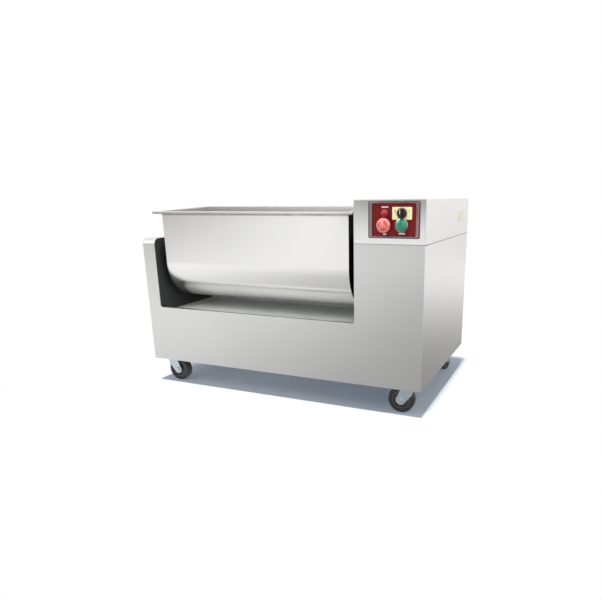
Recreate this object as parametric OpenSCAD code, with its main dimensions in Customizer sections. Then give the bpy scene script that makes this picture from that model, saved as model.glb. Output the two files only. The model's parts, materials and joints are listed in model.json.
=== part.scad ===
// Stuffing mixer: a tipping trough with a paddle shaft in a stainless cabinet on swivel casters.
// Cabinet coordinates: x from the left side, y back from the front face, z up from the floor.

/* [Cabinet] */
// Width of the cabinet over its side panels
cab_w = 1200; // [1000:10:1400]
// Depth of the cabinet over front and rear panels
cab_d = 710; // [600:10:800]
// Height of the skirt edge above the floor
skirt_z = 104; // [90:1:130]
// Height of the cabinet body from skirt to the seam under the control box
body_h = 515; // [460:5:600]
// Height of the control box
box_h = 147; // [120:1:180]
// Width of the left upright
left_w = 60; // [54:1:80]
// Width of the drive housing at the right
right_w = 255; // [230:5:300]
// Gap from the front lip up to the trough bottom
lip_gap = 30; // [20:1:60]
// Radius of the front top corner of the left upright
crown_r = 27; // [15:1:40]
// Thickness of the stainless sheet
sheet_t = 2; // [1.2:0.1:3]
// Inside radius of the cut-out corners
notch_r = 9; // [3:1:20]
// Depth of the flange folded in behind the lip
lip_fold = 18; // [10:1:30]
// Height of the fold along the skirt edge
skirt_fold = 14; // [8:1:20]

/* [Base frame] */
// Side of the square frame tube
tube_w = 50; // [40:1:60]
// Wall of the frame tube
tube_t = 3; // [2:0.5:4]
// Side of the corner pads the casters bolt to
pad_w = 112; // [100:1:130]
// Thickness of the corner pads
pad_t = 6; // [4:0.5:8]
// Radius of the vent holes in the frame tube
vent_r = 4; // [3:0.5:6]
// Height of the channel rails under the drive
rail_h = 30; // [20:1:40]
// Width of the channel rails
rail_w = 50; // [40:1:60]

/* [Trough] */
// Outside radius of the trough bottom
tank_r = 157; // [140:1:175]
// Gap from the front face to the trough wall
tank_front = 29; // [27:1:40]
// Depth of the trough axis below the seam under the control box
axis_drop = 98; // [90:1:120]
// Distance of the front rim below the top of the control box
rim_drop = 41; // [20:1:60]
// Extra height of the rear wall
rear_rise = 15; // [0:1:30]
// Width of the flange round the trough mouth
flange_w = 26; // [20:1:35]
// Depth of the turned-down edge of the flange
flange_drop = 9; // [6:1:14]
// Clearance from the flange to the upright and to the housing
flange_gap = 5; // [3:1:10]
// Tipping angle of the trough
tip_angle = 90; // [60:1:95]

/* [Bearings] */
// Radius of the trunnion journals
journal_r = 30; // [26:1:36]
// Radius of the mixer shaft
shaft_r = 20; // [16:1:24]
// Running clearance on radius
run_gap = 0.05; // [0.02:0.01:0.1]
// Gap left where curved or sliding faces meet
face_gap = 0.3; // [0.2:0.05:0.5]
// Radius of the trunnion flange on the trough end
hub_r = 60; // [50:1:70]
// Thickness of the trunnion flange
hub_t = 8; // [6:1:10]
// Thickness of the bearing plates
plate_t = 6; // [5:1:8]
// Side of the square bearing flange
unit_w = 120; // [100:1:130]
// Thickness of the bearing flange
unit_t = 14; // [10:1:18]
// Radius of the bearing boss
unit_r = 46; // [40:1:52]
// Length of the bearing boss from its flange face
unit_l = 24; // [20:1:30]
// Bolt radius of the bearing unit
unit_bolt_r = 6; // [5:0.5:8]

/* [Tilt clamp] */
// Thickness of the tilt quadrant
quad_t = 8; // [6:1:10]
// Radius of the arc slot
slot_r = 76; // [74:1:80]
// Outer radius of the quadrant
quad_r = 93; // [90:1:96]
// Radius of the clamp spindle
spindle_r = 8; // [6:0.5:8]
// Clearance round the spindle in the slot
slot_gap = 0.5; // [0.3:0.1:1]
// Distance from the side panel to the end of the trunnion
quad_in = 14; // [12:1:16]
// Radius of the threaded boss
boss_r = 13; // [11:1:14]
// Radius of the clamp knob
knob_r = 30; // [25:1:35]
// Length of the clamp knob
knob_l = 28; // [22:1:35]
// Gap between knob and side panel
knob_gap = 12; // [8:1:16]

/* [Mixer] */
// Clearance from the blades to the trough
blade_gap = 6; // [4:1:12]
// Length of a blade along the shaft
blade_l = 92; // [70:1:110]
// Height of a blade along the radius
blade_h = 52; // [40:1:70]
// Thickness of a blade
blade_t = 6; // [4:1:8]
// Twist of the blades
blade_twist = 32; // [10:1:45]
// Radius of the arms
arm_r = 10; // [8:1:14]
// Number of arms
arm_count = 8; // [4:1:10]
// Space from the end wall to the first arm
arm_in = 62; // [50:1:80]

/* [Belt drive] */
// Pitch radius of the drive pulley
drive_r = 56; // [50:1:70]
// Pitch radius of the driven pulley
driven_r = 112; // [100:1:130]
// Spacing of the belts
belt_step = 16; // [14:1:20]
// Number of belts
belt_count = 3; // [1:1:4]
// Width of a belt at its back
belt_w = 13; // [10:1:17]
// Width of a belt at its inner face
belt_w_in = 8; // [5:1:11]
// Depth of a belt
belt_h = 8; // [6:1:11]
// Space from the trunnion end to the pulleys
pulley_in = 9; // [6:1:15]
// Height of the drive shaft above the skirt edge
drive_h = 196; // [190:2:220]
// Radius of the drive shaft
drive_shaft_r = 14; // [12:1:18]
// Radius of the motor
motor_r = 78; // [65:1:90]
// Length of the motor
motor_l = 262; // [220:1:300]
// Length of the gear case
gear_l = 170; // [140:1:190]
// Width of the gear case
gear_w = 176; // [150:1:200]

/* [Control panel] */
// Space from the bezel to the cabinet's right side
bezel_in = 20; // [15:1:30]
// Width of the bezel
bezel_w = 180; // [160:1:185]
// Space from the bezel to the top of the control box
bezel_top = 5; // [4:1:20]
// Height of the bezel
bezel_h = 121; // [110:1:124]
// Width of the bezel's sides
bezel_side = 15; // [8:1:18]
// Width of the bezel's top and bottom bars
bezel_bar = 8; // [5:1:12]
// How far the bezel stands proud
bezel_t = 5; // [3:0.5:8]
// Thickness of the coloured panel plate
plate_front_t = 2; // [1:0.5:4]
// Distance from the bezel's left edge to the left column of controls
col_in = 59; // [55:1:62]
// Spacing of the two columns of controls
col_step = 60; // [56:1:64]
// Height of the lower row of controls above the bezel's bottom edge
row_in = 43; // [38:1:48]
// Spacing of the two rows of controls
row_step = 39; // [36:1:42]
// Radius of the stop button head
stop_r = 24; // [20:1:24]
// Radius of the start button head
start_r = 19; // [15:1:19]
// Travel of the stop and start buttons
press = 4; // [3:0.5:5]
// Radius of the lamp ring
lamp_r = 13.5; // [11:0.5:14]
// Radius of the selector ring
select_r = 17; // [14:0.5:17]
// Radius of a button stem
stem_r = 8; // [6:0.5:9]
// Radius of the barrel behind a control
barrel_r = 11; // [10:0.5:12]
// Clearance of the panel holes
hole_gap = 0.2; // [0.1:0.1:0.5]

/* [Casters] */
// Radius of the caster wheels
wheel_r = 50; // [45:1:52]
// Width of the tread
wheel_w = 32; // [25:1:38]
// Radius of the wheel core
core_r = 35; // [30:1:40]
// Height of the caster over its top plate
caster_h = 122; // [118:1:125]
// Side of the caster top plate
caster_plate_w = 90; // [80:1:100]
// Thickness of the caster top plate
caster_t = 4; // [3:0.5:5]
// Offset of the axle from the swivel axis
trail = 30; // [20:1:36]
// Inset of the swivel axis from both sides of the corner
inset = 57; // [55:1:70]
// Radius of the axle
axle_r = 6; // [5:0.5:8]
// Thickness of the fork legs
leg_t = 3.5; // [2.5:0.5:5]
// Radius of the kingpin
king_r = 8; // [6:0.5:10]

/* [Fixings] */
// Radius of the panel screw heads
screw_head_r = 5; // [4:0.5:7]
// Height of the panel screw heads
screw_head_t = 2.5; // [2:0.5:4]
// Radius of the panel screw shanks
screw_r = 2.5; // [2:0.25:3]
// Length of the panel screw shanks
screw_l = 12; // [8:1:16]
// Radius of the cable passage in the gland
gland_bore_r = 6; // [4:0.5:8]
// Length of the gland outside the rear panel
gland_out = 26; // [20:1:35]

/* [Hidden] */
$fn = 72;
over = 1;
right_x = cab_w - right_w;
seam_z = skirt_z + body_h;
top_z = seam_z + box_h;
frame_z = caster_h + pad_t;
rail_z = frame_z + tube_w;
axis_y = tank_front + tank_r;
axis_z = seam_z - axis_drop;
lip_z = axis_z - tank_r - lip_gap;
rim_z = top_z - rim_drop;
well_w = right_x - left_w;
rim_x0 = left_w + flange_gap;
rim_x1 = right_x - flange_gap;
tank_x0 = rim_x0 + flange_w;
tank_x1 = rim_x1 - flange_w;
tank_l = tank_x1 - tank_x0;
deck_y = axis_y + tank_r + 6 * sheet_t;
drive_y = (deck_y + cab_d) / 2;
liner_z = lip_z - lip_fold;
drive_z = skirt_z + drive_h;
unit_x0 = left_w - sheet_t - plate_t;
unit_x1 = right_x + sheet_t + plate_t;
quad_x0 = sheet_t + quad_in;
quad_x1 = quad_x0 + quad_t;
journal_x1 = unit_x1 + unit_l + 2 * sheet_t;
spindle_y = axis_y;
spindle_z = axis_z - slot_r;
pulley_x0 = journal_x1 + pulley_in;
pulley_w = belt_count * belt_step + belt_step / 4;
blade_r = tank_r - sheet_t - blade_gap;
belt_dy = drive_y - axis_y;
belt_dz = drive_z - axis_z;
belt_c = sqrt(belt_dy * belt_dy + belt_dz * belt_dz);
belt_psi = atan2(belt_dz, belt_dy);
belt_gam = acos((driven_r - drive_r) / belt_c);
belt_run = sqrt(belt_c * belt_c - (driven_r - drive_r) * (driven_r - drive_r));
groove_out = belt_h * 0.6;
groove_in = belt_h - groove_out;
gear_x1 = right_x - tube_w;
gear_x0 = gear_x1 - gear_l;
motor_x0 = gear_x0 - motor_l;
motor_rail_x = motor_x0 + motor_l / 4;
rail_top = rail_z + rail_h;
bezel_x = cab_w - bezel_in - bezel_w;
col_a = bezel_x + col_in;
col_b = col_a + col_step;
bezel_z0 = top_z - bezel_top - bezel_h;
row_a_z = bezel_z0 + row_in;
row_b_z = row_a_z + row_step;
panel_y = -plate_front_t;
collar_t = 3 * sheet_t;
head_gap = press + sheet_t / 2;
head_t = 9 * sheet_t;
legend_t = sheet_t / 2;
barrel_end = 7 * sheet_t;
block_y = barrel_end + sheet_t;
front_out = plate_front_t + collar_t + head_gap + head_t;
rear_out = gland_out;
left_out = knob_gap + knob_l;
plate_side_t = sheet_t / 2;
right_out = plate_side_t;
off_x = -(cab_w + right_out - left_out) / 2;
off_y = -(cab_d + rear_out - front_out) / 2;
crown_z = seam_z - crown_r;
seam_v = 0.4 * sheet_t;
fork_in = wheel_w / 2 + sheet_t * 0.75;
fork_out = fork_in + leg_t;
bolt_grid = unit_w - 5 * unit_bolt_r;
gland_x = cab_w - right_w / 2;
gland_z = rail_z + 2 * tube_w / 3;
rear_screw_xs = [0.03, 0.25, 0.5, 0.72, 0.97];
rear_screw_z = [rail_z - tube_w / 2, seam_z - tube_w / 4];
bolt_pitch = caster_plate_w - 4 * unit_bolt_r;
bolt_r = unit_bolt_r * 2 / 3;
louvre_w = cab_w / 8;
louvre_h = 4 * sheet_t;
shaft_x0 = quad_x1 + sheet_t;
shaft_x1 = pulley_x0 + pulley_w + 5 * sheet_t;
arm_step = (tank_l - 2 * sheet_t - 2 * arm_in) / (arm_count - 1);
legend_w = 4 * select_r;
legend_h = 2.4 * select_r;
swivels = [0, 180, 200, 265];

// Puts the cabinet coordinates into the shared frame
module place() {
  translate([off_x, off_y, 0]) children();
}

// Extrudes a y-z outline along x
module along_x(x0, len) {
  translate([x0, 0, 0]) rotate([90, 0, 90]) linear_extrude(len) children();
}

// Extrudes an x-z outline back along y
module along_y(y0, len) {
  translate([0, y0 + len, 0]) rotate([90, 0, 0]) linear_extrude(len) children();
}

// Turns an outline of radius and height round an axis parallel to x
module round_x(x0, y0, z0) {
  translate([x0, y0, z0]) rotate([0, 90, 0]) rotate_extrude() children();
}

// Turns an outline of radius and height round an axis pointing to the front
module round_front(x0, y0, z0) {
  translate([x0, y0, z0]) rotate([90, 0, 0]) rotate_extrude() children();
}

module disc_x(x0, x1, y0, z0, r) {
  translate([x0, y0, z0]) rotate([0, 90, 0]) cylinder(r = r, h = x1 - x0);
}

module disc_y(x0, y0, y1, z0, r) {
  translate([x0, y1, z0]) rotate([90, 0, 0]) cylinder(r = r, h = y1 - y0);
}

// Rectangle with round corners from low corner and size
module soft_rect(x0, y0, w, h, r) {
  translate([x0 + r, y0]) square([w - 2 * r, h]);
  translate([x0, y0 + r]) square([w, h - 2 * r]);
  for (i = [0, 1]) {
    for (j = [0, 1]) {
      translate([x0 + r + i * (w - 2 * r), y0 + r + j * (h - 2 * r)]) circle(r = r);
    }
  }
}

// Frame and casters
module tube_along_x(x0, y0, z0, len) {
  translate([x0, y0, z0]) difference() {
    cube([len, tube_w, tube_w]);
    translate([-over, tube_t, tube_t]) cube([len + 2 * over, tube_w - 2 * tube_t, tube_w - 2 * tube_t]);
    for (i = [0.15, 0.85]) {
      translate([i * len, tube_w / 2, -over]) cylinder(r = vent_r, h = tube_t + 2 * over);
    }
  }
}

module tube_along_y(x0, y0, z0, len) {
  translate([x0, y0, z0]) difference() {
    cube([tube_w, len, tube_w]);
    translate([tube_t, -over, tube_t]) cube([tube_w - 2 * tube_t, len + 2 * over, tube_w - 2 * tube_t]);
    for (i = [0.25, 0.75]) {
      translate([tube_w / 2, i * len, -over]) cylinder(r = vent_r, h = tube_t + 2 * over);
    }
  }
}

// Places a child at the four swivel axes
module at_casters() {
  for (x = [inset, cab_w - inset]) {
    for (y = [inset, cab_d - inset]) {
      translate([x, y, 0]) children();
    }
  }
}

// Places a child at the four bolts of a caster plate
module at_plate_bolts() {
  for (i = [-1, 1]) {
    for (j = [-1, 1]) {
      translate([i * bolt_pitch / 2, j * bolt_pitch / 2, 0]) children();
    }
  }
}

module base_frame() {
  inner_l = cab_d - 2 * sheet_t - 2 * tube_w;
  color([0.62, 0.63, 0.64]) place() {
    difference() {
      union() {
        tube_along_x(sheet_t, sheet_t, frame_z, cab_w - 2 * sheet_t);
        tube_along_x(sheet_t, cab_d - sheet_t - tube_w, frame_z, cab_w - 2 * sheet_t);
        tube_along_y(sheet_t, sheet_t + tube_w, frame_z, inner_l);
        tube_along_y(cab_w - sheet_t - tube_w, sheet_t + tube_w, frame_z, inner_l);
        tube_along_y(right_x - tube_w, sheet_t + tube_w, frame_z, inner_l);
        for (x = [sheet_t, cab_w - sheet_t - pad_w]) {
          for (y = [sheet_t, cab_d - sheet_t - pad_w]) {
            translate([x, y, caster_h]) cube([pad_w, pad_w, pad_t]);
          }
        }
      }
      at_casters() at_plate_bolts() {
        translate([0, 0, caster_h - over]) cylinder(r = bolt_r + hole_gap, h = pad_t + tube_t + 2 * over);
      }
      for (i = rear_screw_xs) {
        disc_y(i * cab_w, cab_d - 2 * sheet_t - tube_t, cab_d, rear_screw_z[0], screw_r + run_gap);
      }
    }
  }
}

module caster_plates() {
  crown_top = caster_h - caster_t - face_gap;
  nut_top = crown_top - 3 * caster_t - face_gap;
  color([0.72, 0.72, 0.7]) place() at_casters() {
    difference() {
      translate([0, 0, caster_h - caster_t]) linear_extrude(caster_t) {
        soft_rect(-caster_plate_w / 2, -caster_plate_w / 2, caster_plate_w, caster_plate_w, 2 * caster_t);
      }
      at_plate_bolts() {
        translate([0, 0, caster_h - caster_t - over]) cylinder(r = bolt_r + hole_gap, h = caster_t + 2 * over);
      }
    }
    translate([0, 0, nut_top]) cylinder(r = king_r, h = caster_h - caster_t - nut_top);
    translate([0, 0, nut_top - caster_t]) cylinder(r = king_r * 1.6, h = caster_t, $fn = 6);
  }
}

module caster_bolts() {
  color([0.75, 0.75, 0.75]) place() at_casters() at_plate_bolts() {
    translate([0, 0, caster_h - caster_t]) cylinder(r = bolt_r, h = caster_t + pad_t + 1.5 * caster_t);
    translate([0, 0, caster_h - 2 * caster_t]) cylinder(r = bolt_r * 1.8, h = caster_t, $fn = 6);
  }
}

module caster_fork(x, y, turn) {
  crown_top = caster_h - caster_t - face_gap;
  crown_t = 3 * caster_t;
  crown_bot = crown_top - crown_t;
  color([0.74, 0.74, 0.72]) place() translate([x, y, 0]) rotate([0, 0, turn]) {
    difference() {
      union() {
        translate([0, 0, crown_bot]) cylinder(r = inset * 0.56, h = crown_t - leg_t);
        translate([0, 0, crown_top - leg_t]) cylinder(r1 = inset * 0.56, r2 = inset * 0.5, h = leg_t);
        translate([-inset * 0.4, -fork_out, crown_bot]) cube([inset * 0.8, 2 * fork_out, crown_t / 2]);
      }
      translate([0, 0, crown_bot - over]) cylinder(r = king_r + run_gap, h = crown_t + 2 * over);
    }
    for (s = [-1, 1]) {
      translate([0, s * (fork_in + leg_t / 2), 0]) rotate([90, 0, 0]) linear_extrude(leg_t, center = true) {
        polygon([[-inset * 0.4, crown_bot + crown_t / 2], [inset * 0.4, crown_bot + crown_t / 2],
          [trail + 3 * axle_r, wheel_r], [trail - 2 * axle_r, wheel_r - 2.2 * axle_r],
          [-inset * 0.22, wheel_r + wheel_r * 0.45], [-inset * 0.4, crown_bot - leg_t]]);
        translate([trail, wheel_r]) circle(r = 3 * axle_r);
      }
    }
    translate([trail, fork_out + over, wheel_r]) rotate([90, 0, 0]) cylinder(r = axle_r, h = 2 * fork_out + 2 * over);
    for (s = [-1, 1]) {
      translate([trail, s * (fork_out + axle_r / 2), wheel_r]) rotate([90, 0, 0]) {
        cylinder(r = axle_r * 1.7, h = axle_r, center = true, $fn = 6);
      }
    }
  }
}

// Puts a turned wheel outline on its axle
module on_axle(x, y, turn) {
  place() translate([x, y, 0]) rotate([0, 0, turn]) translate([trail, 0, wheel_r]) rotate([90, 0, 0]) {
    rotate_extrude() children();
  }
}

module wheel_core(x, y, turn) {
  hub_l = fork_in - face_gap;
  rib_t = wheel_w / 8;
  color([0.32, 0.33, 0.34]) on_axle(x, y, turn) {
    polygon([[axle_r + run_gap, -hub_l], [2 * axle_r, -hub_l], [2.2 * axle_r, -rib_t], [core_r - rib_t, -rib_t],
      [core_r - rib_t, -wheel_w * 0.42], [core_r, -wheel_w * 0.42], [core_r, wheel_w * 0.42],
      [core_r - rib_t, wheel_w * 0.42], [core_r - rib_t, rib_t], [2.2 * axle_r, rib_t], [2 * axle_r, hub_l],
      [axle_r + run_gap, hub_l]]);
  }
}

module tyre(x, y, turn) {
  soft = wheel_w / 6;
  color([0.06, 0.06, 0.06]) on_axle(x, y, turn) {
    difference() {
      union() {
        translate([core_r, -wheel_w * 0.42]) square([wheel_r - core_r - soft, wheel_w * 0.84]);
        translate([core_r + soft, -wheel_w / 2 + soft]) square([wheel_r - core_r - soft, wheel_w - 2 * soft]);
        for (s = [-1, 1]) {
          translate([wheel_r - soft, s * (wheel_w / 2 - soft)]) circle(r = soft);
        }
        translate([core_r + soft / 2, -wheel_w / 2]) square([wheel_r - core_r - 1.5 * soft, wheel_w]);
      }
    }
  }
}

// Sheet metal of the cabinet
module front_panel() {
  color([0.78, 0.79, 0.8]) place() {
    difference() {
      along_y(0, sheet_t) difference() {
        translate([sheet_t, skirt_z]) square([cab_w - 2 * sheet_t, body_h]);
        soft_rect(left_w, lip_z, well_w, body_h, notch_r);
        translate([0, crown_z]) square([left_w + over, crown_r + over]);
      }
    }
    along_x(left_w + notch_r, well_w - 2 * notch_r) difference() {
      translate([sheet_t / 2, lip_z - sheet_t]) square([lip_fold, sheet_t]);
    }
    along_x(2 * sheet_t, cab_w - 4 * sheet_t) {
      translate([sheet_t / 2, skirt_z]) square([skirt_fold, sheet_t]);
    }
  }
}

module left_side_panel() {
  color([0.78, 0.79, 0.8]) place() {
    difference() {
      along_x(0, sheet_t) {
        translate([0, skirt_z]) square([cab_d, body_h - crown_r]);
        translate([crown_r, skirt_z]) square([cab_d - crown_r, body_h]);
        translate([crown_r, crown_z]) circle(r = crown_r);
      }
      disc_x(-over, sheet_t + over, spindle_y, spindle_z, spindle_r + slot_gap);
    }
    along_y(skirt_fold + 2 * sheet_t, cab_d - 2 * skirt_fold - 4 * sheet_t) {
      translate([sheet_t / 2, skirt_z]) square([skirt_fold, sheet_t]);
    }
  }
}

module wall_outline(y0, y1) {
  translate([y0, rail_z]) square([y1 - y0, seam_z - sheet_t - rail_z]);
}

module left_inner_wall() {
  hole_r = journal_r + 2 * sheet_t;
  color([0.7, 0.71, 0.72]) place() difference() {
    along_x(left_w - sheet_t, sheet_t) {
      translate([sheet_t, rail_z]) square([cab_d - 2 * sheet_t, crown_z - rail_z]);
      translate([crown_r, rail_z]) square([cab_d - crown_r - sheet_t, seam_z - sheet_t - rail_z]);
      translate([crown_r, crown_z]) circle(r = crown_r - sheet_t);
    }
    disc_x(left_w - sheet_t - over, left_w + over, axis_y, axis_z, hole_r);
  }
}

module left_top_cap() {
  color([0.8, 0.81, 0.82]) place() {
    along_x(sheet_t, left_w - sheet_t) {
      translate([crown_r, seam_z - sheet_t]) square([cab_d - crown_r, sheet_t]);
      intersection() {
        difference() {
          translate([crown_r, crown_z]) circle(r = crown_r);
          translate([crown_r, crown_z]) circle(r = crown_r - sheet_t);
        }
        translate([0, crown_z]) square([crown_r, crown_r]);
      }
    }
  }
}

module right_inner_wall() {
  hole_r = journal_r + 2 * sheet_t;
  color([0.7, 0.71, 0.72]) place() difference() {
    along_x(right_x, sheet_t) {
      translate([sheet_t, rail_z]) square([cab_d - 2 * sheet_t, seam_z - rail_z]);
    }
    disc_x(right_x - over, right_x + sheet_t + over, axis_y, axis_z, hole_r);
    disc_x(right_x - over, right_x + sheet_t + over, drive_y, drive_z, drive_shaft_r + 3 * sheet_t);
  }
}

module right_side_panel() {
  color([0.8, 0.81, 0.82]) place() {
    difference() {
      along_x(cab_w - sheet_t, sheet_t) translate([0, skirt_z]) square([cab_d, body_h]);
      along_y(-over, cab_d + 2 * over) polygon([[cab_w - seam_v, seam_z], [cab_w, seam_z - seam_v],
        [cab_w + over, seam_z - seam_v], [cab_w + over, seam_z + over], [cab_w - seam_v, seam_z + over]]);
    }
    along_y(skirt_fold + 2 * sheet_t, cab_d - 2 * skirt_fold - 4 * sheet_t) {
      translate([cab_w - sheet_t / 2 - skirt_fold, skirt_z]) square([skirt_fold, sheet_t]);
    }
  }
}

module louvre_row(x0) {
  for (k = [0 : 6]) {
    soft_rect(x0, drive_z - motor_r * 0.6 + k * 3 * louvre_h, louvre_w, louvre_h, louvre_h / 2 - over / 8);
  }
}

module rear_panel() {
  color([0.76, 0.77, 0.78]) place() {
    difference() {
      along_y(cab_d - sheet_t, sheet_t) difference() {
        translate([sheet_t, skirt_z]) square([cab_w - 2 * sheet_t, body_h - sheet_t]);
        louvre_row(motor_x0);
        louvre_row(motor_x0 + 1.4 * louvre_w);
      }
      for (i = rear_screw_xs) {
        for (z = rear_screw_z) {
          disc_y(i * cab_w, cab_d - sheet_t - over, cab_d + over, z, screw_r + hole_gap);
        }
      }
      disc_y(gland_x, cab_d - sheet_t - over, cab_d + over, gland_z, 1.6 * gland_bore_r + hole_gap);
    }
    for (x0 = [motor_x0, motor_x0 + 1.4 * louvre_w]) {
      for (k = [0 : 6]) {
        z = drive_z - motor_r * 0.6 + k * 3 * louvre_h + louvre_h;
        along_x(x0, louvre_w) polygon([[cab_d - sheet_t, z], [cab_d - sheet_t, z + sheet_t / 2], [cab_d, z + sheet_t / 2],
          [cab_d + louvre_h, z - louvre_h], [cab_d + louvre_h - sheet_t, z - louvre_h], [cab_d, z]]);
      }
    }
    along_x(2 * sheet_t, cab_w - 4 * sheet_t) {
      translate([cab_d - sheet_t / 2 - skirt_fold, skirt_z]) square([skirt_fold, sheet_t]);
    }
  }
}

module rear_deck() {
  color([0.8, 0.81, 0.82]) place() difference() {
    along_x(left_w, well_w) {
      translate([deck_y + sheet_t, seam_z - sheet_t]) square([cab_d - deck_y - sheet_t, sheet_t]);
      translate([cab_d - 2 * sheet_t, seam_z - 1.6 * lip_fold]) square([sheet_t, 1.6 * lip_fold]);
    }
    for (i = rear_screw_xs) {
      disc_y(i * cab_w, cab_d - 3 * sheet_t, cab_d - sheet_t / 2, rear_screw_z[1], screw_r + hole_gap);
    }
  }
}

// Tray under the trough and wall behind it, from one folded sheet
module well_liner() {
  bend = 2 * sheet_t;
  color([0.66, 0.67, 0.68]) place() {
    along_x(left_w, well_w) {
      translate([sheet_t, liner_z - sheet_t]) square([deck_y - sheet_t - bend + sheet_t, sheet_t]);
      translate([deck_y, liner_z + bend - sheet_t]) square([sheet_t, seam_z - liner_z - bend + sheet_t]);
      intersection() {
        difference() {
          translate([deck_y + sheet_t - bend, liner_z - sheet_t + bend]) circle(r = bend);
          translate([deck_y + sheet_t - bend, liner_z - sheet_t + bend]) circle(r = bend - sheet_t);
        }
        translate([deck_y + sheet_t - bend, liner_z - sheet_t]) square([bend, bend]);
      }
    }
  }
}

// Bearings and tilt clamp
module bearing_plate(x0, floor_z) {
  foot = unit_w * 0.95;
  head = unit_w * 0.6;
  difference() {
    along_x(x0, plate_t) {
      polygon([[axis_y - foot, floor_z], [axis_y + foot, floor_z], [axis_y + foot, floor_z + tube_w],
        [axis_y + head, axis_z], [axis_y + head, axis_z + head], [axis_y - head, axis_z + head],
        [axis_y - head, axis_z], [axis_y - foot, floor_z + tube_w]]);
    }
    disc_x(x0 - over, x0 + plate_t + over, axis_y, axis_z, journal_r + 2 * sheet_t);
    for (i = [-1, 1]) {
      for (j = [-1, 1]) {
        disc_x(x0 - over, x0 + plate_t + over, axis_y + i * bolt_grid / 2, axis_z + j * bolt_grid / 2,
          unit_bolt_r + hole_gap);
      }
    }
  }
}

module bearing_plates() {
  color([0.6, 0.6, 0.6]) place() {
    bearing_plate(unit_x0, frame_z);
    bearing_plate(right_x + sheet_t, frame_z);
    difference() {
      disc_x(quad_x1 + face_gap, unit_x0, spindle_y, spindle_z, boss_r);
      disc_x(quad_x1, unit_x0 - sheet_t, spindle_y, spindle_z, spindle_r + run_gap);
    }
  }
}

module bearing_unit(x0, dir) {
  translate([x0, axis_y, axis_z]) rotate([0, dir * 90, 0]) difference() {
    union() {
      linear_extrude(unit_t) soft_rect(-unit_w / 2, -unit_w / 2, unit_w, unit_w, 2 * unit_bolt_r);
      cylinder(r1 = unit_r + 2 * sheet_t, r2 = unit_r, h = unit_l);
    }
    translate([0, 0, -over]) cylinder(r = journal_r + run_gap, h = unit_l + 2 * over);
    for (i = [-1, 1]) {
      for (j = [-1, 1]) {
        translate([i * bolt_grid / 2, j * bolt_grid / 2, -over]) cylinder(r = unit_bolt_r + hole_gap, h = unit_t + 2 * over);
      }
    }
  }
}

module bearing_units() {
  color([0.2, 0.33, 0.3]) place() {
    bearing_unit(unit_x0, -1);
    bearing_unit(unit_x1, 1);
  }
}

module unit_bolts(x0, dir) {
  for (i = [-1, 1]) {
    for (j = [-1, 1]) {
      translate([x0, axis_y + i * bolt_grid / 2, axis_z + j * bolt_grid / 2]) rotate([0, dir * 90, 0]) {
        translate([0, 0, -plate_t]) cylinder(r = unit_bolt_r, h = plate_t + unit_t + over);
        translate([0, 0, unit_t]) cylinder(r = 1.6 * unit_bolt_r, h = unit_bolt_r, $fn = 6);
      }
    }
  }
}

module bearing_bolts() {
  color([0.75, 0.75, 0.75]) place() {
    unit_bolts(unit_x0, -1);
    unit_bolts(unit_x1, 1);
  }
}

// The slot runs the tipping angle back from the clamp spindle, so its ends are the two stops
module tilt_quadrant() {
  slot_w = spindle_r + slot_gap;
  color([0.66, 0.67, 0.68]) place() translate([quad_x0, axis_y, axis_z]) rotate([90, 0, 90]) {
    linear_extrude(quad_t) difference() {
      union() {
        circle(r = journal_r * 1.5);
        intersection() {
          circle(r = quad_r);
          polygon([[0, 0], [2 * quad_r * cos(-76), 2 * quad_r * sin(-76)], [-2 * quad_r, -2 * quad_r],
            [2 * quad_r * cos(-104 - tip_angle), 2 * quad_r * sin(-104 - tip_angle)]]);
        }
      }
      circle(r = journal_r);
      for (a = [-90, -90 - tip_angle]) {
        rotate([0, 0, a]) translate([slot_r, 0]) circle(r = slot_w);
      }
      intersection() {
        difference() {
          circle(r = slot_r + slot_w);
          circle(r = slot_r - slot_w);
        }
        polygon([[0, 0], [0, -2 * quad_r], [-2 * quad_r, -2 * quad_r],
          [2 * quad_r * cos(-90 - tip_angle), 2 * quad_r * sin(-90 - tip_angle)]]);
      }
    }
  }
}

module clamp_knob() {
  collar_x = quad_x0 - face_gap;
  color([0.07, 0.07, 0.07]) place() translate([0, spindle_y, spindle_z]) rotate([0, 90, 0]) {
    translate([0, 0, -knob_gap - knob_l]) {
      difference() {
        union() {
          linear_extrude(knob_l * 0.7) {
            circle(r = knob_r * 0.8);
            for (a = [0 : 60 : 300]) {
              rotate([0, 0, a]) translate([knob_r * 0.72, 0]) circle(r = knob_r * 0.28);
            }
          }
          cylinder(r = knob_r * 0.5, h = knob_l);
        }
        translate([0, 0, -over]) cylinder(r = knob_r * 0.36, h = over + sheet_t);
      }
    }
    translate([0, 0, -knob_gap - over]) cylinder(r = spindle_r, h = knob_gap + over + unit_x0 - 2 * sheet_t);
    translate([0, 0, collar_x - 2 * sheet_t]) cylinder(r = boss_r, h = 2 * sheet_t);
  }
}

// Trough
module trough_outline(r) {
  circle(r = r);
  translate([-r, 0]) square([2 * r, rim_z - axis_z - sheet_t]);
}

module end_wall(x0) {
  h0 = rim_z - axis_z - sheet_t;
  along_x(x0, sheet_t) translate([axis_y, axis_z]) difference() {
    union() {
      trough_outline(tank_r);
      polygon([[-tank_r, h0 - over], [tank_r, h0 - over], [tank_r, h0 + rear_rise], [-tank_r, h0]]);
    }
    circle(r = journal_r);
  }
}

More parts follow.
